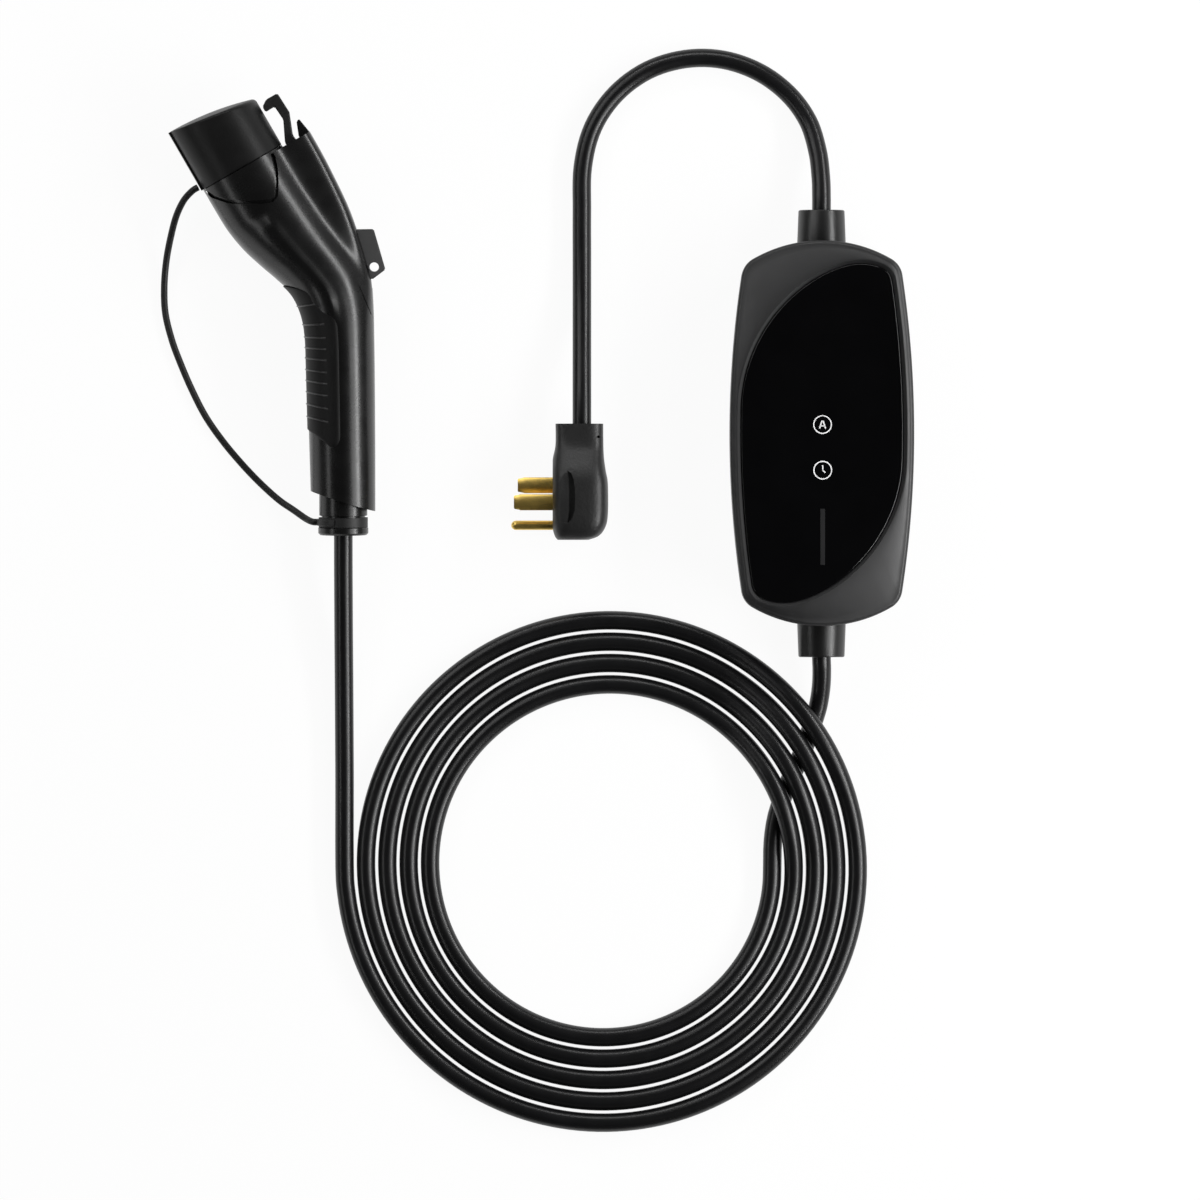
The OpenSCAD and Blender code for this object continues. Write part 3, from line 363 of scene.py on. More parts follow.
# Control box: the same outline as the solids, in finer steps
BOX_W, BOX_H, BOX_DEPTH, JOINT_Z = 97.4, 204.0, 48.0, 18.0
SIDE_R, END_R, CORNER_R = 563.0, 73.0, 12.0
FRONT_EDGE_R, BACK_EDGE_R, CASE_WALL = 2.4, 4.0, 2.8
SHOULDER_FALL, SHOULDER_BULGE, SHOULDER_STEPS = 0.28, 0.09, (0.15, 0.3, 0.45, 0.6, 0.75, 0.9)
JOINT_GAP, JOINT_INSET, JOINT_CHAMFER, RIM_DROP = 0.05, 0.35, 0.4, 0.6
PANEL_FIT, LEDGE_W, LEDGE_T, BACK_WALL = 0.12, 5, 2.6, 2.6
PANEL_INSET, PANEL_CORNER_R, SWEEP_R, BEVEL_W = 6.0, 11.0, 83.0, 2.3
PANEL_TOP, PANEL_T = BOX_DEPTH - 0.8, 2.0
BEVEL = [(2.15, 0.06), (2.0, 0.2), (0.12, 2.0)]
SIDE_C = Vector((BOX_W / 2 - SIDE_R, 0))
END_C = Vector((0, BOX_H / 2 - END_R))
SWEEP_C = Vector((SWEEP_R - BOX_W / 2 + PANEL_INSET, 10.9))
SOFT_POWER, SOFT_FROM, SOFT_OVER = 24, 45.0, 35.0
SIDE_STEPS, CORNER_STEPS, END_STEPS, EDGE_STEPS = 16, 14, 18, 8


def corner_centre(r):
    """Centre of the arc that joins the side to the end."""
    line = END_C - SIDE_C
    d = line.length
    e = line / d
    along = ((SIDE_R - r) ** 2 - (END_R - r) ** 2 + d ** 2) / (2 * d)
    return SIDE_C + along * e + math.sqrt((SIDE_R - r) ** 2 - along ** 2) * Vector((-e.y, e.x))


def outline(inset, r=CORNER_R):
    """Outline of the box, moved in by an inset."""
    c = corner_centre(r)
    a = math.degrees(math.atan2(c.y, c.x - SIDE_C.x))
    b = math.degrees(math.atan2(c.y - END_C.y, c.x))
    quarter = [SIDE_C + (SIDE_R - inset) * direction(a * i / SIDE_STEPS) for i in range(SIDE_STEPS)]
    quarter += [c + (r - inset) * direction(a + (b - a) * i / CORNER_STEPS) for i in range(CORNER_STEPS)]
    quarter += [END_C + (END_R - inset) * direction(b + (90 - b) * i / END_STEPS) for i in range(END_STEPS)]
    top = [Vector((0, BOX_H / 2 - inset))]
    half = quarter + top + [Vector((-p.x, p.y)) for p in quarter[:0:-1]]
    return half + [-p for p in half]


def reach_to(p, c, r):
    """Share of the way from the middle through a point to a circle."""
    along = p.dot(c)
    return (along + math.sqrt(along ** 2 - p.dot(p) * (c.dot(c) - r ** 2))) / p.dot(p)


def cut_share(p, reach):
    """A plain cut along the sides, rounded off towards the ends."""
    soft = min(max((abs(p.y) - SOFT_FROM) / SOFT_OVER, 0), 1)
    return (1 - soft) * min(1, reach) + soft * (1 + reach ** -SOFT_POWER) ** (-1 / SOFT_POWER)


def swept(p, r):
    """Point of the panel's outline, cut by the two sweeping arcs."""
    if p.x < SWEEP_C.x and p.y > SWEEP_C.y:
        return p * cut_share(p, reach_to(p, SWEEP_C, r))
    if -p.x < SWEEP_C.x and -p.y > SWEEP_C.y:
        return p * cut_share(p, reach_to(p, -SWEEP_C, r))
    return p


def panel_ring(grow):
    """Outline of the panel, moved out."""
    whole = outline(PANEL_INSET - grow, PANEL_CORNER_R + PANEL_INSET)
    return [swept(p, SWEEP_R + grow) for p in whole]


def level(ring, z):
    """Ring of points at one height."""
    return [(p.x, p.y, z) for p in ring]


def heights(ring, zs):
    """Ring of points at a height each."""
    return [(p.x, p.y, z) for p, z in zip(ring, zs)]


def bulged(low, high, f):
    """Ring between two others, raised a little in the middle."""
    rise = SHOULDER_BULGE * 4 * f * (1 - f)
    ring = []
    for p, q in zip(low, high):
        x, y, z = Vector(p).lerp(Vector(q), f)
        ring.append((x, y, z + rise * (q[2] - p[2])))
    return ring


def front_case():
    """Front shell with its rounded edge, two falling shoulders and the bevel round the panel."""
    case, panel = outline(0), panel_ring(0)
    falls = [SHOULDER_FALL * max(0, (p - q).length - PANEL_INSET) for p, q in zip(case, panel)]

    def edge(inset, drop):
        return heights(outline(inset), [BOX_DEPTH - RIM_DROP - fall - drop for fall in falls])

    rings = [level(outline(JOINT_INSET), JOINT_Z + JOINT_GAP), level(case, JOINT_Z + JOINT_CHAMFER)]
    rings.append(edge(0, FRONT_EDGE_R))
    for k in range(1, EDGE_STEPS + 1):
        a = math.radians(90 * k / EDGE_STEPS)
        rings.append(edge(FRONT_EDGE_R * (1 - math.cos(a)), FRONT_EDGE_R * (1 - math.sin(a))))
    lip, rim = rings[-1], level(panel_ring(BEVEL_W), BOX_DEPTH)
    rings += [bulged(lip, rim, f) for f in SHOULDER_STEPS]
    rings += [level(panel_ring(grow), BOX_DEPTH - drop) for grow, drop in BEVEL]
    seat = PANEL_TOP - PANEL_T
    rings += [level(panel_ring(PANEL_FIT), seat), level(panel_ring(-LEDGE_W), seat)]
    rings += [level(panel_ring(-LEDGE_W), seat - LEDGE_T), edge(FRONT_EDGE_R, FRONT_EDGE_R)]
    rings += [edge(CASE_WALL, FRONT_EDGE_R + CASE_WALL), level(outline(CASE_WALL), JOINT_Z + JOINT_GAP)]
    return loft(rings, "loop")


SCREW_Y, SCREW_IN, WELL_R, WELL_DEEP = [f * BOX_H for f in (-0.36, 0, 0.36)], 3.6, 3.0, 2.4
SCREW_X = [SIDE_C.x + math.sqrt(SIDE_R ** 2 - y ** 2) - CASE_WALL - SCREW_IN for y in SCREW_Y]
SCREW_AT = [(s * x, y) for x, y in zip(SCREW_X, SCREW_Y) for s in (-1, 1)]


def rear_case():
    """Rear shell with its rounded back edge and six screw wells."""
    rings = []
    for k in range(EDGE_STEPS + 1):
        a = math.radians(90 * k / EDGE_STEPS)
        rings.append(level(outline(BACK_EDGE_R * (1 - math.sin(a))), BACK_EDGE_R * (1 - math.cos(a))))
    rings += [level(outline(0), JOINT_Z - JOINT_CHAMFER), level(outline(JOINT_INSET), JOINT_Z)]
    rings += [level(outline(CASE_WALL), z) for z in (JOINT_Z, BACK_EDGE_R)]
    rings.append(level(outline(BACK_EDGE_R), BACK_WALL))
    wells = [shifted(rod(WELL_R, -1, WELL_DEEP, 32), x, y) for x, y in SCREW_AT]
    return carve(loft(rings), joined(*wells))


LIGHT_BAR_AT, LIGHT_BAR_SIZE, LIGHT_BAR_FIT = Vector((0.3, -54.8)), Vector((2.4, 29.6)), Vector((0.1, 0.1))
SQUARE = ((-1, -1), (1, -1), (1, 1), (-1, 1))


def rectangle(centre, size):
    """Corners of a rectangle."""
    return [(centre.x + sx * size.x / 2, centre.y + sy * size.y / 2) for sx, sy in SQUARE]


PANEL_EDGE = [(0, PANEL_T), (0, 0.4), (0.12, 0.12), (0.4, 0), (1.2, 0)]


def gloss_panel():
    """Face panel with a rounded edge and the slot of the light bar."""
    bm = loft([level(panel_ring(-inset), PANEL_TOP - drop) for inset, drop in PANEL_EDGE])
    slot = rectangle(LIGHT_BAR_AT, LIGHT_BAR_SIZE + LIGHT_BAR_FIT)
    return carve(bm, prism(slot, PANEL_TOP - PANEL_T - 1, PANEL_TOP + 1))


def stroke(a, b, width):
    """Outline of a straight stroke between two points."""
    a, b = Vector(a), Vector(b)
    side = Vector((a.y - b.y, b.x - a.x)).normalized() * width / 2
    return [tuple(p) for p in (a - side, b - side, b + side, a + side)]


# Printed signs: a letter A for the current and a clock for the delay, each in a ring
MARK_R, MARK_W, MARK_T, LEG_W = 4.65, 0.6, 0.04, 0.7
CURRENT_AT, CLOCK_AT = Vector((0.2, 4.5)), Vector((0.3, -19.6))
CURRENT = [((-1.6, -2.1), (-0.25, 2.1), LEG_W), ((1.6, -2.1), (0.25, 2.1), LEG_W),
           ((-1.0, -0.7), (1.0, -0.7), MARK_W)]
CLOCK = [((0, 2.7), (0, -0.2), MARK_W), ((-0.25, 0.1), (1.4, -1.3), MARK_W)]


def panel_marks():
    """The two signs as thin printed shapes on the panel."""
    rings, strokes = [], []
    for at, lines in ((CURRENT_AT, CURRENT), (CLOCK_AT, CLOCK)):
        ring = tube(MARK_R - MARK_W / 2, MARK_R + MARK_W / 2, 0, MARK_T, 64)
        rings.append(shifted(ring, *at, PANEL_TOP))
        for a, b, width in lines:
            shape = stroke(at + Vector(a), at + Vector(b), width)
            strokes.append(prism(shape, PANEL_TOP, PANEL_TOP + MARK_T))
    return joined(*rings, *strokes)


front = add_piece("front_case", front_case(), BODY, case_black, 30)
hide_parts("front_shell")
rear = add_piece("rear_case", rear_case(), BODY, case_black, 40)
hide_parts("rear_shell")
face = add_piece("gloss_panel", gloss_panel(), BODY, panel_black, 50)
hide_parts("face_panel")
add_piece("panel_marks", panel_marks(), BODY, mark_white)

GLAND_R, GLAND_TIP_R, GLAND_L, GLAND_RIM_R, BORE_R = 12.85, 12.25, 16.5, 15.05, 5.15
GLAND_IN, GLAND_RIM_IN = 9, 6
LIE = Matrix.Rotation(math.radians(-90), 4, "X")


def gland_sleeve(side):
    """Tapered sleeve where a cord leaves the box, with a rounded mouth."""
    wall = BOX_H / 2
    end = wall + GLAND_L
    profile = [(BORE_R, wall - GLAND_IN), (GLAND_RIM_R, wall - GLAND_IN), (GLAND_RIM_R, wall - GLAND_RIM_IN),
               (GLAND_R, wall - GLAND_RIM_IN), (GLAND_R, wall), (GLAND_TIP_R, end - 0.8),
               (GLAND_TIP_R - 0.25, end - 0.25), (GLAND_TIP_R - 0.9, end), (BORE_R + 1.6, end),
               (BORE_R + 1.1, end - 0.5), (BORE_R, end - 1.4)]
    turn = Matrix.Rotation(math.radians(0 if side > 0 else 180), 4, "Z")
    return moved(lathe(profile), turn @ Matrix.Translation((0, 0, JOINT_Z * MM)) @ LIE)


for gland_name, gland_side in (("upper_gland", 1), ("lower_gland", -1)):
    sleeve = add_piece(gland_name + "_sleeve", gland_sleeve(gland_side), BODY, gland_black)
    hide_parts(gland_name)


# Connector: the frame of the handle comes from the latch joint
latch_joint = next(j for j in frame["joints"] if j["child"] == LATCH)
PIVOT = Vector((-13, 184, 0))
GUN_TILT = math.atan2(latch_joint["axis"][1], -latch_joint["axis"][2])
GUN_TURN = Matrix.Rotation(GUN_TILT, 4, "X")
GUN = Matrix.Translation(Vector(latch_joint["pos_m"]) - GUN_TURN @ (PIVOT * MM)) @ GUN_TURN
NOSE_R, BARREL_R, HANDLE_WALL, SPINE_REACH, NOSE_TURN = 21.9, 23.95, 2.0, 40.4, 30
NOSE_AT = Vector((-53.3, 192.7))
NOSE_AXIS, NOSE_SIDE = direction(90 + NOSE_TURN), direction(NOSE_TURN)
NOSE_IN_GUN = (Matrix.Translation(Vector((*NOSE_AT, 0)) * MM)
               @ Matrix.Rotation(math.radians(NOSE_TURN), 4, "Z") @ LIE)
NOSE = GUN @ NOSE_IN_GUN
TAIL_U = -0.7
TAIL = GUN @ Matrix.Translation((TAIL_U * MM, 0, 0)) @ LIE


def front_section(a, left, right):
    """Section of the straight front of the handle, at a distance along the nose."""
    low = NOSE_AT - (BARREL_R + left) * NOSE_SIDE + a * NOSE_AXIS
    high = NOSE_AT + (SPINE_REACH + right) * NOSE_SIDE + a * NOSE_AXIS
    return [low.x, low.y, high.x, high.y, BARREL_R, BARREL_R, 11]


# Sections from the tail to the front: left and right point, two barrel radii and half width of the spine
HANDLE = [
    [-18, 22.4, 16.3, 11.7, 17.9, 17.5, 8], [-18.9, 53.6, 16.3, 45, 18.05, 18.5, 8],
    [-19.7, 85, 16.1, 81, 17.95, 19, 8], [-20.4, 104, 15.8, 104, 18.05, 19.5, 8.5],
    [-22.6, 116, 15.4, 121, 18.8, 20, 9], [-27.5, 126.3, 14.2, 135.5, 20, 21, 9.5],
    [-35.6, 134.2, 10.9, 147.5, 21.5, 22, 10], [-44.5, 141.8, 6.8, 160.5, 22.5, 23, 10.5],
    [-53.5, 150.2, 1.5, 174.5, 23.5, 23.7, 11],
    front_section(-24, -0.4, -0.6), front_section(-12, 0, -0.1), front_section(0, 0, 0)]
BLEND, SPINE_POWER = 5.5, 4.6
RIDGE_AT, RIDGE_H, RIDGE_RIGHT, RIDGE_LEFT = 96, 1.7, 8.0, 30.0
RIDGE_FROM, RIDGE_RISE, RIDGE_TO, RIDGE_FADE = 3.3, 1.2, 8.9, 0.5


def keyhole(a, r, w, reach, spine_w):
    """Distance from the barrel's centre to the skin: an oval barrel with a narrower spine."""
    c, s = math.cos(a), abs(math.sin(a))
    barrel = 1 / math.hypot(c / r, s / w)
    length = max(max(reach, r) ** BLEND - r ** BLEND, 1) ** (1 / BLEND)
    spine = 0
    if c > 0:
        spine = ((c / length) ** SPINE_POWER + (s / spine_w) ** SPINE_POWER) ** (-1 / SPINE_POWER)
    return (barrel ** BLEND + spine ** BLEND) ** (1 / BLEND)


def handle_point(row, degrees, inset):
    """Point of the handle's skin in one section, moved in by an inset."""
    a = math.radians(degrees)
    low, high = Vector(row[0:2]), Vector(row[2:4])
    chord = (high - low).length
    e = (high - low) / chord
    rho = keyhole(a, row[4] - inset, row[5] - inset, chord - row[4] - inset, row[6] - inset)
    p = low + (row[4] + rho * math.cos(a)) * e
    return (p.x, p.y, rho * math.sin(a))


def ridge(t, degrees):
    """Height of the soft ridge along the flank, from the grip inset to the collar."""
    ends = min(1.0, max(0.0, (t - RIDGE_FROM) / RIDGE_RISE), max(0.0, (RIDGE_TO - t) / RIDGE_FADE))
    spread = RIDGE_RIGHT if degrees < RIDGE_AT else RIDGE_LEFT
    return RIDGE_H * ends * math.exp(-((degrees - RIDGE_AT) / spread) ** 2)


HALF_STEPS, HALF_CROWD, SPAN_STEPS, ROUND_STEPS = 120, 1.5, 8, 128
SEAM = 0.25


def half_shell(ridged):
    """Half of the handle with a fine groove at the parting line, and the ridge on the camera's side."""
    angles = [180 * (k / HALF_STEPS) ** HALF_CROWD for k in range(HALF_STEPS + 1)]
    rings = []
    for k in range((len(HANDLE) - 1) * SPAN_STEPS, -1, -1):
        row = smooth_row(HANDLE, k / SPAN_STEPS)
        rise = [SEAM if a in (0, 180) else -ridged * ridge(k / SPAN_STEPS, a) for a in angles]
        outer = [handle_point(row, a, r) for a, r in zip(angles, rise)]
        inner = [handle_point(row, a, HANDLE_WALL) for a in angles[::-1]]
        rings.append(outer + inner)
    bm = loft(rings, "open")
    bm.verts.ensure_lookup_table()
    n = 2 * (HALF_STEPS + 1)
    for start in (0, len(bm.verts) - n):
        for j in range(HALF_STEPS):
            bm.faces.new([bm.verts[start + i] for i in (j, j + 1, n - 2 - j, n - 1 - j)])
    return bm


LEVER_W, LOOSE = 9.0, 0.4
WINDOW = [(-1, 164.6), (9.5, 164.6), (25, 141), (20, 130), (8.6, 130)]
INSERT = [(8.6, 129.9), (14.6, 129.9), (15.2, 114)]
FIN = [(-24.2, 210.6), (-25.3, 218.2), (-24, 219.5), (-18.2, 212.4), (-19.4, 209.2), (-22.5, 207.4)]
FIN_FROM, FIN_W, FIN_EDGE = 0.02, 3.0, 0.35
HANDLE_SCREWS, HANDLE_WELL = [(-1, 50), (-1, 92), (-16, 128), (-30, 152)], (3.0, 10, 40)
INSERT_LINE, LINE_W, LINE_FROM, LINE_TO = [(7.9, 131.6), (14.6, 115.4)], 0.4, 7.4, 30

# Side view of the collar's tongues: along the nose's side and axis
TONGUE = [(-22.5, 1.2), (-20.5, -3), (-15, -9), (-7, -14.6), (1, -18.6), (5.4, -20.4), (8, -19.6),
          (11, -14.6), (14.4, -8), (16.4, -2), (16.8, 1.2)]
TONGUE_FOOT, TONGUE_REACH = -22, 40
RECESS_GAP, RECESS_DEEP, RECESS_OUT, RECESS_ENDS = 2.0, 1.2, 4, (-26, 4)


def grown(points, by):
    """Outline moved outwards, for points that run anticlockwise."""
    made = []
    corners = [Vector(p) for p in points]
    for before, at, after in zip(corners[-1:] + corners, corners, corners[1:] + corners[:1]):
        way = (at - before).normalized() + (after - at).normalized()
        made.append(tuple(at + by * Vector((way.y, -way.x)).normalized()))
    return made


def tongue_shape(points):
    """A side view made into a prism across the nose."""
    return moved(prism(points, -TONGUE_REACH, TONGUE_REACH), Matrix.Rotation(math.radians(90), 4, "X"))


def tongue_recess():
    """Shallow step in the handle round the tongue."""
    skin = tube(BARREL_R - RECESS_DEEP, BARREL_R + RECESS_OUT, *RECESS_ENDS, ROUND_STEPS)
    return moved(carve(skin, tongue_shape(grown(TONGUE, RECESS_GAP)), "INTERSECT"), NOSE_IN_GUN)


def handle_side(side):
    """One handle shell: skin, latch window, insert pocket, half fin and, on the far side, screw wells."""
    room = LEVER_W / 2 + LOOSE
    bm = carve(half_shell(side > 0), prism(WINDOW, -room, room))
    bm = carve(bm, prism(INSERT, -room, room))
    bm = carve(bm, prism(stroke(*INSERT_LINE, LINE_W), LINE_FROM, LINE_TO))
    bm = carve(bm, tongue_recess())
    if side < 0:
        wells = [shifted(rod(*HANDLE_WELL, 32), u, v) for u, v in HANDLE_SCREWS]
        bm = carve(bm, joined(*wells))
    bm = joined(bm, prism(FIN, FIN_FROM, FIN_W, FIN_EDGE))
    if side < 0:
        bm = moved(bm, Matrix.Scale(-1, 4, (0, 0, 1)))
    return moved(bm, GUN)


for shell_name, shell_side in (("near_shell", 1), ("far_shell", -1)):
    shell = add_piece("handle_" + shell_name, handle_side(shell_side), BODY, handle_black, 38)
    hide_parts(shell_name)


# Collar: a ring in front of the handle and two tongues that lie on its flanks
COLLAR_L, COLLAR_T, COLLAR_FIT, COLLAR_EDGE = 1.2, 0.95, 0.1, 0.4
CAP_R, NOSE_FIT = 24.0, 0.05


def collar_piece():
    """Tongues cut out of a thin tube by their side view, and the ring."""
    inner = BARREL_R + COLLAR_FIT
    skin = tube(inner, inner + COLLAR_T, TONGUE_FOOT, COLLAR_L, ROUND_STEPS)
    tongues = carve(skin, tongue_shape(TONGUE), "INTERSECT")
    soften(tongues, 45, COLLAR_EDGE, 3)
    return moved(joined(tube(NOSE_R + NOSE_FIT, CAP_R, 0, COLLAR_L, ROUND_STEPS), tongues), NOSE)


collar_obj = add_piece("collar_tongues", collar_piece(), BODY, handle_black, 40)
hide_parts("collar")


# Grip inset: a rubber skin round the finger side with fine raised ribs
GRIP_FROM, GRIP_TO, GRIP_HALF, GRIP_T, GRIP_FOOT = 0.87, 5.6, 88, 0.8, 0.2
RIB_AT = [1.25, 1.45, 1.65, 1.85, 2.07, 2.35, 2.65, 3.0, 3.5, 4.4]
RIB_END, RIB_LIP, RIB_RAMP, RIB_STEPS, GRIP_STEPS, FOOT_SLANT = 0.78, 0.1, 0.08, 40, 72, 0.16
RIB = [(-0.45, 0), (-0.34, 0.26), (-0.16, 0.42), (0.16, 0.42), (0.34, 0.26), (0.45, 0), (0.3, -0.3),
       (-0.3, -0.3)]
GRIP_NARROWS, CORNER_CUT, TIP_LEAST, GRIP_LIP, GRIP_IN, LIP_POWER = 3.4, 0.2, 0.004, 0.1, 0.05, 30


def grip_reach(t):
    """Half angle of the skin: rounded off at its lower corner, narrowing to its upper end."""
    foot = max(0, 1 - (t - GRIP_FROM) / GRIP_FOOT)
    top = max(0, (t - GRIP_NARROWS) / (GRIP_TO - GRIP_NARROWS))
    corner = 1 - CORNER_CUT * (1 - math.sqrt(1 - foot ** 2))
    return GRIP_HALF * corner * math.sqrt(max(1 - top ** 2, TIP_LEAST))


def grip_point(row, degrees, out):
    """Point over the handle's skin, all the way round."""
    p = handle_point(row, min(degrees, 360 - degrees), -out)
    return p if degrees <= 180 else (p[0], p[1], -p[2])


def grip_ring(t, thickness):
    """Closed ring: the outer skin, then the inner side; near the foot it is slanted."""
    half, slant = grip_reach(t), FOOT_SLANT * max(0, 1 - (t - GRIP_FROM) / (4 * GRIP_FOOT))
    outer, inner = [], []
    for k in range(GRIP_STEPS + 1):
        f = 2 * k / GRIP_STEPS - 1
        row, edge = smooth_row(HANDLE, t + slant * (1 - f * f)), 1 - abs(f) ** LIP_POWER
        outer.append(grip_point(row, 180 + f * half, GRIP_LIP + (thickness - GRIP_LIP) * edge))
        inner.append(grip_point(row, 180 + f * half, GRIP_IN))
    return outer + inner[::-1]


def grip_skin():
    """Rubber skin as rings along the handle, thin at both ends."""
    stations = [(GRIP_FROM, GRIP_LIP), (GRIP_FROM + 0.012, 0.6), (GRIP_FROM + 0.03, GRIP_T)]
    stations += [(GRIP_FROM + f * GRIP_FOOT, GRIP_T) for f in (0.3, 0.5, 0.75, 1, 2, 3)]
    stations += [(1.8 + 0.15 * k, GRIP_T) for k in range(24)]
    stations += [(t, GRIP_T) for t in (5.38, 5.48, 5.54)] + [(5.58, 0.5), (GRIP_TO, GRIP_LIP)]
    return moved(loft([grip_ring(*row) for row in stations], "flat"), GUN)


def rib_bar(t):
    """One fine rib across the grip skin."""
    step = 0.05
    near, far = (Vector(smooth_row(HANDLE, t + s * step)[0:2]) for s in (-1, 1))
    per_mm = 2 * step / (far - near).length
    rows = [(smooth_row(HANDLE, t + along * per_mm), height) for along, height in RIB]
    rings = []
    for k in range(RIB_STEPS + 1):
        f = RIB_END * (2 * k / RIB_STEPS - 1)
        rise = min(1.0, RIB_LIP + (RIB_END - abs(f)) / RIB_RAMP)
        turn = 180 + f * grip_reach(t)
        rings.append([grip_point(row, turn, GRIP_T + height * rise) for row, height in rows])
    return loft(rings)


grip = add_piece("grip_skin", grip_skin(), BODY, grip_black, 40)
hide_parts("grip_inset")
ribs = moved(joined(*[rib_bar(t) for t in RIB_AT]), GUN)
add_piece("grip_ribs", ribs, BODY, rib_black, 60)


# Dust cap: a cup with a domed, slanted end and a flat strip that carries the tether
SLIP, CAP_WALL, CAP_L, CAP_END, STRIP_T, STRIP_W = 0.1, 2.0, 28.2, 2.0, 1.0, 9.0
DOME_R, DOME_SLANT = 160.0, 8.5
DOME_SIDE = DOME_R * math.sin(math.radians(DOME_SLANT))
CAP_ROUND, CAP_EDGE, STRIP_EDGE, STRIP_FROM, STRIP_DROP = (0.5, 2.0), 0.4, 0.25, 0.15, 0.1
CAP_TURNS = [2 * math.pi * j / ROUND_STEPS for j in range(ROUND_STEPS)]
STRIP_AT, STRIP_REACH = Vector((-22.5, 0)), 15.0


def dome_height(x, y, r):
    """Height of the slanted dome of a radius over the cap's mouth."""
    base = CAP_L - math.sqrt(DOME_R ** 2 - (CAP_R + DOME_SIDE) ** 2)
    return base + math.sqrt(r ** 2 - (x + DOME_SIDE) ** 2 - y ** 2)


def cap_circle(rho, r, rounding=None):
    """Ring of the end's face; rounding is an angle along its rounded edge, softer away from the strip."""
    ring = []
    for turn in CAP_TURNS:
        reach, drop = rho, 0
        if rounding is not None:
            edge = CAP_ROUND[0] + (CAP_ROUND[1] - CAP_ROUND[0]) * (1 + math.cos(turn)) / 2
            reach = rho - edge * (1 - math.sin(rounding))
            drop = edge * (1 - math.cos(rounding))
        x, y = reach * math.cos(turn), reach * math.sin(turn)
        ring.append((x, y, dome_height(x, y, r) - drop))
    return ring


def plain_circle(rho, z):
    """Flat ring of the cap."""
    return [(rho * math.cos(turn), rho * math.sin(turn), z) for turn in CAP_TURNS]


def cap_cup():
    """Cup with its strip, open towards the nose."""
    inner = CAP_R - CAP_WALL
    rings = [cap_circle(rho, DOME_R) for rho in (0, 4, 8, 12, 16, 20)]
    rings += [cap_circle(CAP_R, DOME_R, math.radians(15 * k)) for k in range(7)]
    mouth = [(CAP_R, CAP_EDGE), (CAP_R - CAP_EDGE, 0), (inner + CAP_EDGE, 0), (inner, 0.5)]
    rings += [plain_circle(rho, z) for rho, z in mouth]
    rings += [cap_circle(rho, DOME_R - CAP_END) for rho in (inner, 16, 8, 0)]
    top = dome_height(-CAP_R, 0, DOME_R) - STRIP_DROP
    keep = prism(rectangle(STRIP_AT, Vector((STRIP_REACH, STRIP_W))), -1, top + 1)
    strip = carve(tube(CAP_R - 1, CAP_R + STRIP_T, STRIP_FROM, top, 192), keep, "INTERSECT")
    soften(strip, 45, STRIP_EDGE, 2)
    bm = joined(loft(rings, "open"), strip)
    return moved(bm, NOSE @ Matrix.Translation((0, 0, (COLLAR_L + SLIP) * MM)))


cup = add_piece("cap_cup", cap_cup(), CAP, cap_black, 30)
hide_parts("dust_cap")


# Latch: a lever with its hook, arm and boss, and a thumb tab pressed on its tenon
LEVER = [(-43.3, 225.9), (-41.4, 229.8), (-35.7, 233), (-34.9, 232.2), (-29.1, 223.1), (-27.3, 211),
         (-9.5, 186), (2.2, 163.6), (-0.6, 158.05), (-4, 164), (-16.9, 181.5), (-31.4, 207), (-32.3, 219.2),
         (-36.9, 226), (-41.6, 223.1)]
LEVER_EDGE, PIVOT_R = 0.5, 2.05
BOSS = [(PIVOT_R, -4.5), (4.7, -4.5), (5, -4.2), (5, 4.2), (4.7, 4.5), (PIVOT_R, 4.5)]
TENON, TENON_W, FIT = [(0.1, 163.6), (7.4, 156.4), (5.9, 154.6), (-1.3, 160.8)], 4.0, 0.05
TAB = [(2.2, 163.6), (3.4, 161), (15.5, 161.1), (21.7, 139.7), (14.7, 134.5), (11, 136.5), (4, 150),
       (-0.6, 158.05)]
PADLOCK_AT, PADLOCK_R = Vector((15.8, 141.1, 0)), 2.5


def drilled(bm, at, r):
    """Cut a round hole through a flat part."""
    return carve(bm, shifted(rod(r, -LEVER_W, LEVER_W, 48), *at))


def lever_body():
    """Lever with its bored boss and the tenon of the tab."""
    bm = prism(LEVER, -LEVER_W / 2, LEVER_W / 2, LEVER_EDGE)
    tenon = prism(TENON, -TENON_W / 2, TENON_W / 2)
    boss = shifted(lathe(BOSS, 48), *PIVOT)
    return moved(joined(drilled(bm, PIVOT, PIVOT_R), tenon, boss), GUN)


def tab_body():
    """Thumb tab with its mortise and the padlock hole."""
    bm = prism(TAB, -LEVER_W / 2, LEVER_W / 2, LEVER_EDGE)
    bm = carve(bm, prism(TENON, -TENON_W / 2 - FIT, TENON_W / 2 + FIT))
    return moved(drilled(bm, PADLOCK_AT, PADLOCK_R), GUN)


for latch_name, latch_part in (("latch_lever", lever_body()), ("thumb_tab", tab_body())):
    latch_piece = add_piece(latch_name + "_body", latch_part, LATCH, CAD_FINISH[latch_name], 35)
    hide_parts(latch_name)


# Mains plug: a moulded body that lies on its flank
PLUG_AT, PLUG_HALF_W, PLUG_FACE = Vector((-126.9, 5.2)), 20.0, -15.6
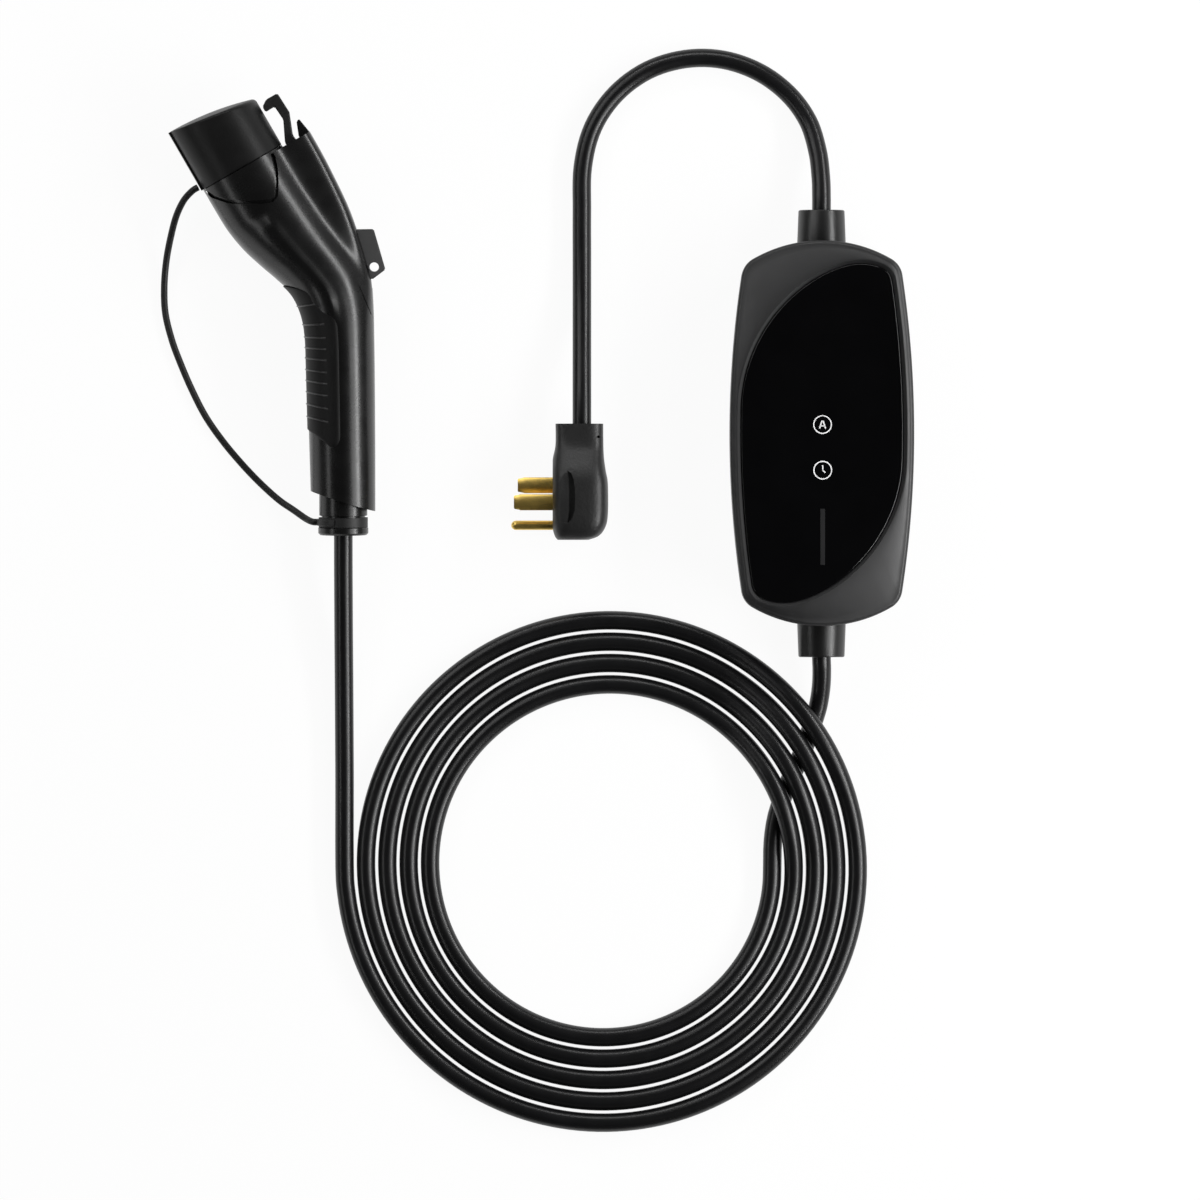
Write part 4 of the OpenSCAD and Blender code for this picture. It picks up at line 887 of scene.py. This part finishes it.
# Sections from the cord to the far end: place, left, right and share of the half width
PLUG = [[0, -13.5, 10.6, 0.56], [-11, -13.5, 10.7, 0.58], [-18, -14.8, 11, 0.74], [-25, -15.6, 11.9, 0.92],
        [-32, -15.6, 13, 1], [-48, -15.6, 13, 1], [-55, -15, 11.6, 0.94], [-59.5, -13.9, 8.2, 0.8],
        [-61.5, -12.6, 3, 0.6]]
PLUG_M = Matrix.Translation(Vector((*PLUG_AT, PLUG_HALF_W)) * MM)
PLUG_STEPS, PLUG_SPAN, PLUG_SQUARE, PLUG_SPREAD = 96, 6, 0.5, 1.05


def plug_ring(row):
    """Section of the plug: a squared oval, cut flat at the face of the prongs."""
    mid, half, w = (row[1] + row[2]) / 2, (row[2] - row[1]) / 2, min(row[3], 1) * PLUG_HALF_W
    ring = []
    for j in range(PLUG_STEPS):
        a = 2 * math.pi * j / PLUG_STEPS
        c, s = math.cos(a), math.sin(a)
        x = mid + half * PLUG_SPREAD * math.copysign(abs(c) ** PLUG_SQUARE, c)
        ring.append((max(PLUG_FACE, x), row[0], w * math.copysign(abs(s) ** PLUG_SQUARE, s)))
    return ring


# Finger pad on the plug's two flanks, and the groove along its right edge
PAD = [(-17, -52.4), (-7.4, -52.4), (-6.6, -50.5), (-6.3, -45), (-6.3, -33), (-6.6, -27), (-7.4, -25.2),
       (-17, -25.2)]
PAD_GROOVE = [(-7.8, -24.9), (-5.7, -26.4), (-4.4, -29.5), (-3.8, -34), (-3.6, -40), (-3.9, -46),
              (-5.2, -50.4), (-7.8, -52.8), (-7.3, -50), (-6.9, -46), (-6.8, -40), (-6.9, -34), (-7.2, -29)]
PAD_SLOPE, PAD_DEEP, GROOVE_DEEP, CUT_TO = 1.3, 18.7, 17.2, 24
VENT_AT, VENT_R, VENT_FROM, CORD_IN = Vector((8.65, -7.0)), 0.8, 4, 8


def pad_cutter(side):
    """Cutter of a finger pad whose edges slope."""
    wide = grown(PAD, PAD_SLOPE)
    levels = ((PAD, PAD_DEEP), (wide, PAD_DEEP + PAD_SLOPE), (wide, CUT_TO))
    return loft([[(x, y, side * z) for x, y in points] for points, z in levels])


def plug_moulding():
    """Plug body with its pads, grooves, vent and the bore of the cord."""
    rows = [smooth_row(PLUG, k / PLUG_SPAN) for k in range((len(PLUG) - 1) * PLUG_SPAN, -1, -1)]
    bm = loft([plug_ring(row) for row in rows])
    for s in (-1, 1):
        ends = sorted((s * GROOVE_DEEP, s * CUT_TO))
        bm = carve(carve(bm, pad_cutter(s)), prism(PAD_GROOVE, *ends))
    vent = shifted(rod(VENT_R, VENT_FROM, CUT_TO, 24), *VENT_AT)
    bore = moved(rod(BORE_R, -CORD_IN, 1, 48), LIE)
    return moved(carve(carve(bm, vent), bore), PLUG_M)


plug = add_piece("plug_moulding", plug_moulding(), BODY, plug_black, 40)
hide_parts("plug_body")

BLADE_W, BLADE_T, BLADE_L, BLADE_IN, BLADE_BOW = 8.4, 1.8, 20.5, 9.0, 0.4
BLADE_CORNER, BLADE_RIM, BLADE_FLAT_STEPS = 0.35, 0.15, 10
BLADES = {"line_blade_1": (-41.6, 9.5, BLADE_L), "line_blade_2": (-41.6, -9.5, BLADE_L),
          "neutral_blade": (-32.6, 0, BLADE_L - 2)}


def blade_section(x, width, thickness):
    """Cross-section of a blade: chamfered edges and slightly bowed flats."""
    half, t = width / 2, thickness / 2
    flat = [-1 + 2 * k / BLADE_FLAT_STEPS for k in range(BLADE_FLAT_STEPS + 1)]
    upper = [(x, v * (half - BLADE_CORNER), t - BLADE_BOW * v * v) for v in flat]
    lower = [(x, -y, -z) for x, y, z in upper]
    rim = t - BLADE_BOW - BLADE_RIM
    return upper + [(x, half, rim), (x, half, -rim)] + lower + [(x, -half, -rim), (x, -half, rim)]


def blade_piece(v, w, length):
    """Flat prong whose end is stepped in and tapered."""
    tip = PLUG_FACE - length
    sections = [(PLUG_FACE + BLADE_IN, BLADE_W, BLADE_T), (tip + 3.2, BLADE_W, BLADE_T),
                (tip + 3, BLADE_W - 0.5, BLADE_T - 0.1), (tip + 0.4, BLADE_W - 1.4, 1.25),
                (tip, BLADE_W - 2.2, 1.2)]
    return moved(shifted(loft([blade_section(*row) for row in sections]), 0, v, w), PLUG_M)


for blade_name, place in BLADES.items():
    add_piece("prong_" + blade_name, blade_piece(*place), BODY, brass, 35)
    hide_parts(blade_name)


# Cords: the routes are the solids' own, and the coil's turns follow a spiral
CABLE_D, STRAP_D = 10.0, 3.6
MAINS_ROUTE = [
    (0, 109, 18), (0, 119.5, 18), (0, 126, 17.4), (-0.3, 136, 15), (-2, 150, 11), (-7, 166, 7),
    (-17.5, 180.5, 5.2), (-33, 192, 5), (-52, 198.6, 5), (-72, 199, 5), (-92, 193, 5), (-109, 180.5, 5),
    (-121, 163, 5), (-126.5, 142, 5), (-127, 118, 5), (-127, 94, 5.2), (-127, 72, 7), (-127, 52, 11),
    (-127, 34, 15.8), (-127, 20, 19), (-127, 10, 20), (-127, 1, 20)]
LEAD_ROUTE = [(0, -109, 18), (0, -119.5, 18), (0.2, -125, 16.6), (0, -133, 13.6), (-1, -141, 10.8),
              (-2.6, -148, 9.2)]
INNER_ROUTE = [(-6, -158, 7), (-10.5, -170.4, 5.6), (-17.8, -186.3, 5), (-23.4, -202.2, 5),
               (-25.6, -216, 5)]
TAIL_ROUTE = [(-253, -186, 5), (-253.1, -165, 5), (-253.2, -145, 5.6), (-253.3, -126, 7.2),
              (-253.4, -108, 9.6), (-253.45, -90, 12.6), (-253.5, -72, 15.6), (-253.5, -62, 16.7),
              (-253.5, -53.7, 17.13), (-253.5, -43.7, 17.57)]
STRAP_ROUTE = [
    (-330.4, 130.35, 25.35), (-333.5, 128.4, 24.6), (-338, 123.5, 21.4), (-342, 115.5, 16.4),
    (-345, 105, 10.8), (-347.6, 92, 5.4), (-348.8, 78, 2.6), (-348.2, 64, 2), (-344.8, 50, 2),
    (-340.4, 38, 2), (-334.4, 24, 2), (-327, 9.5, 2), (-318, -3.5, 2), (-308, -15.5, 2), (-298, -26, 2.4),
    (-288, -35, 4.4), (-280, -40.5, 8), (-273.5, -45, 13), (-269.9, -46.7, 16.9), (-267.2, -46.9, 17.3)]
TONGUE_R, TONGUE_Z, TONGUE_FROM, TONGUE_TO, TONGUE_STEPS = 13.1, 5.8, 172, 250, 20
STRAP_TONGUE, TONGUE_TIP = [(0, -1.8), (0.8, -1.8), (1.1, -1.4), (1.1, 1.4), (0.8, 1.8), (0, 1.8)], 0.75
COIL_AT, COIL_R, COIL_PITCH, COIL_TURNS = Vector((-113.95, -229.5)), 88.0, 11.34, 4.5
COIL_STEP = 6
CROSSINGS = [(339.5, 15.2), (694, 16.4), (1049.5, 17.6), (1406, 18.8)]
CROSSING_RAMP = 34


def coil_height(turn):
    """Height of the cable's middle: on the floor, and up over the lead at each crossing."""
    lift = 0
    for at, top in CROSSINGS:
        if abs(turn - at) < CROSSING_RAMP:
            lift = (top - CABLE_D / 2) * math.cos(math.pi / 2 * (turn - at) / CROSSING_RAMP) ** 2
    return CABLE_D / 2 + lift


def coil_route():
    """Points of the spiral, from its inner turn outwards."""
    points = []
    for k in range(int(COIL_TURNS * 360 / COIL_STEP) + 1):
        turn = k * COIL_STEP
        p = COIL_AT + (COIL_R + COIL_PITCH * turn / 360) * direction(-turn)
        points.append((p.x, p.y, coil_height(turn)))
    return points


def strap_tongue():
    """Flat end of the tether strap, bent round its ring."""
    rings = []
    for k in range(TONGUE_STEPS + 1):
        e = direction(TONGUE_FROM + (TONGUE_TO - TONGUE_FROM) * k / TONGUE_STEPS)
        share = 1 if k < TONGUE_STEPS else TONGUE_TIP
        rings.append([(*((TONGUE_R + r) * e), TONGUE_Z + share * z) for r, z in STRAP_TONGUE])
    return moved(loft(rings), TAIL)


tongue = add_piece("strap_tongue", strap_tongue(), BODY, strap_black)

mains_points = smooth_route(MAINS_ROUTE)
charge_points = smooth_route(LEAD_ROUTE + INNER_ROUTE + coil_route() + TAIL_ROUTE, 3)
strap_points = smooth_route(STRAP_ROUTE)
mains_cord = cable("mains_cord", mains_points, CABLE_D, cable_black)
charge_cord = cable("charge_cord", charge_points, CABLE_D, cable_black)
strap_cord = cable("strap_cord", strap_points, STRAP_D, strap_black)
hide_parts("mains_lead")
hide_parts("charge_lead", "cable_coil", "charge_tail")
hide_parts("tether_strap")


# Stage: pale floor, soft light from the sides and a camera straight above
VIEW_AT = Vector((-117.4, -88.2, 20)) * MM
VIEW_WIDTH_M, CAMERA_H_M, SENSOR = 0.636, 9.0, 36.0
FLOOR_HALF_M, FLOOR_Z_M, FLOOR_TONE, FLOOR_ROUGH, FLOOR_WHITE = 6, -0.0002, 0.9, 0.9, 0.94
HORIZON = [(0.0, 0.1), (0.16, 0.14), (0.4, 0.12), (0.62, 0.03), (1.0, 0.02)]
# Lamps: place in metres, size in metres and power in watts
LAMPS = {"right_strip": ((1.1, -0.05, 0.85), (2.4, 0.2), 27),
         "left_strip": ((-1.3, 0.1, 0.85), (2.4, 0.2), 4.5),
         "back_strip": ((-0.2, 1.35, 0.85), (1.4, 0.25), 7),
         "low_right_soft": ((1.05, -0.45, 1.3), (0.8, 0.8), 9),
         "high_left_soft": ((-0.95, 0.75, 1.25), (0.8, 0.8), 4)}


def pale_floor():
    """Floor that the camera and reflections see as nearly white, and that keeps the shadow."""
    bm = bmesh.new()
    bmesh.ops.create_grid(bm, x_segments=1, y_segments=1, size=FLOOR_HALF_M)
    mesh = bpy.data.meshes.new("floor")
    bm.to_mesh(mesh)
    bm.free()
    floor = placed("floor", mesh)
    floor.location = (VIEW_AT.x, VIEW_AT.y, FLOOR_Z_M)
    mat = bpy.data.materials.new("floor")
    mat.use_nodes = True
    nodes, links = mat.node_tree.nodes, mat.node_tree.links
    shader = nodes["Principled BSDF"]
    shader.inputs["Base Color"].default_value = (FLOOR_TONE, FLOOR_TONE, FLOOR_TONE, 1)
    shader.inputs["Roughness"].default_value = FLOOR_ROUGH
    white = nodes.new("ShaderNodeEmission")
    white.inputs["Strength"].default_value = 1.0
    path = nodes.new("ShaderNodeLightPath")
    seen = path.outputs["Is Camera Ray"]
    for ray in ("Is Glossy Ray", "Is Transmission Ray"):
        either = nodes.new("ShaderNodeMath")
        either.operation = "MAXIMUM"
        links.new(seen, either.inputs[0])
        links.new(path.outputs[ray], either.inputs[1])
        seen = either.outputs["Value"]
    share = nodes.new("ShaderNodeMath")
    share.operation = "MULTIPLY"
    share.inputs[1].default_value = FLOOR_WHITE
    links.new(seen, share.inputs[0])
    mix = nodes.new("ShaderNodeMixShader")
    links.new(share.outputs["Value"], mix.inputs["Fac"])
    links.new(shader.outputs["BSDF"], mix.inputs[1])
    links.new(white.outputs["Emission"], mix.inputs[2])
    links.new(mix.outputs["Shader"], nodes["Material Output"].inputs["Surface"])
    mesh.materials.append(mat)


def area_light(name, at, size, power):
    """Rectangular lamp that points at the middle of the view."""
    data = bpy.data.lights.new(name, "AREA")
    data.shape = "RECTANGLE"
    data.size, data.size_y = size
    data.energy = power
    lamp = placed(name, data)
    lamp.location = Vector(at)
    lamp.rotation_euler = (VIEW_AT - Vector(at)).to_track_quat("-Z", "Y").to_euler()


def surround():
    """World: soft light that is brighter near the horizon than overhead."""
    world = bpy.data.worlds.new("surround")
    scene.world = world
    world.use_nodes = True
    nodes, links = world.node_tree.nodes, world.node_tree.links
    coords = nodes.new("ShaderNodeTexCoord")
    split = nodes.new("ShaderNodeSeparateXYZ")
    links.new(coords.outputs["Generated"], split.inputs["Vector"])
    ramp = nodes.new("ShaderNodeValToRGB")
    for _ in HORIZON[2:]:
        ramp.color_ramp.elements.new(0.5)
    for element, (at, tone) in zip(ramp.color_ramp.elements, HORIZON):
        element.position = at
        element.color = (tone, tone, tone, 1)
    links.new(split.outputs["Z"], ramp.inputs["Fac"])
    links.new(ramp.outputs["Color"], nodes["Background"].inputs["Color"])


def top_camera():
    """Camera straight above, far away with a long lens."""
    data = bpy.data.cameras.new("camera")
    data.sensor_width = SENSOR
    data.lens = SENSOR * CAMERA_H_M / VIEW_WIDTH_M
    camera = placed("camera", data)
    camera.location = VIEW_AT + Vector((0, 0, CAMERA_H_M))
    scene.camera = camera


pale_floor()
surround()
top_camera()
for lamp_name, lamp_row in LAMPS.items():
    area_light(lamp_name, *lamp_row)
scene.view_settings.view_transform = "Standard"
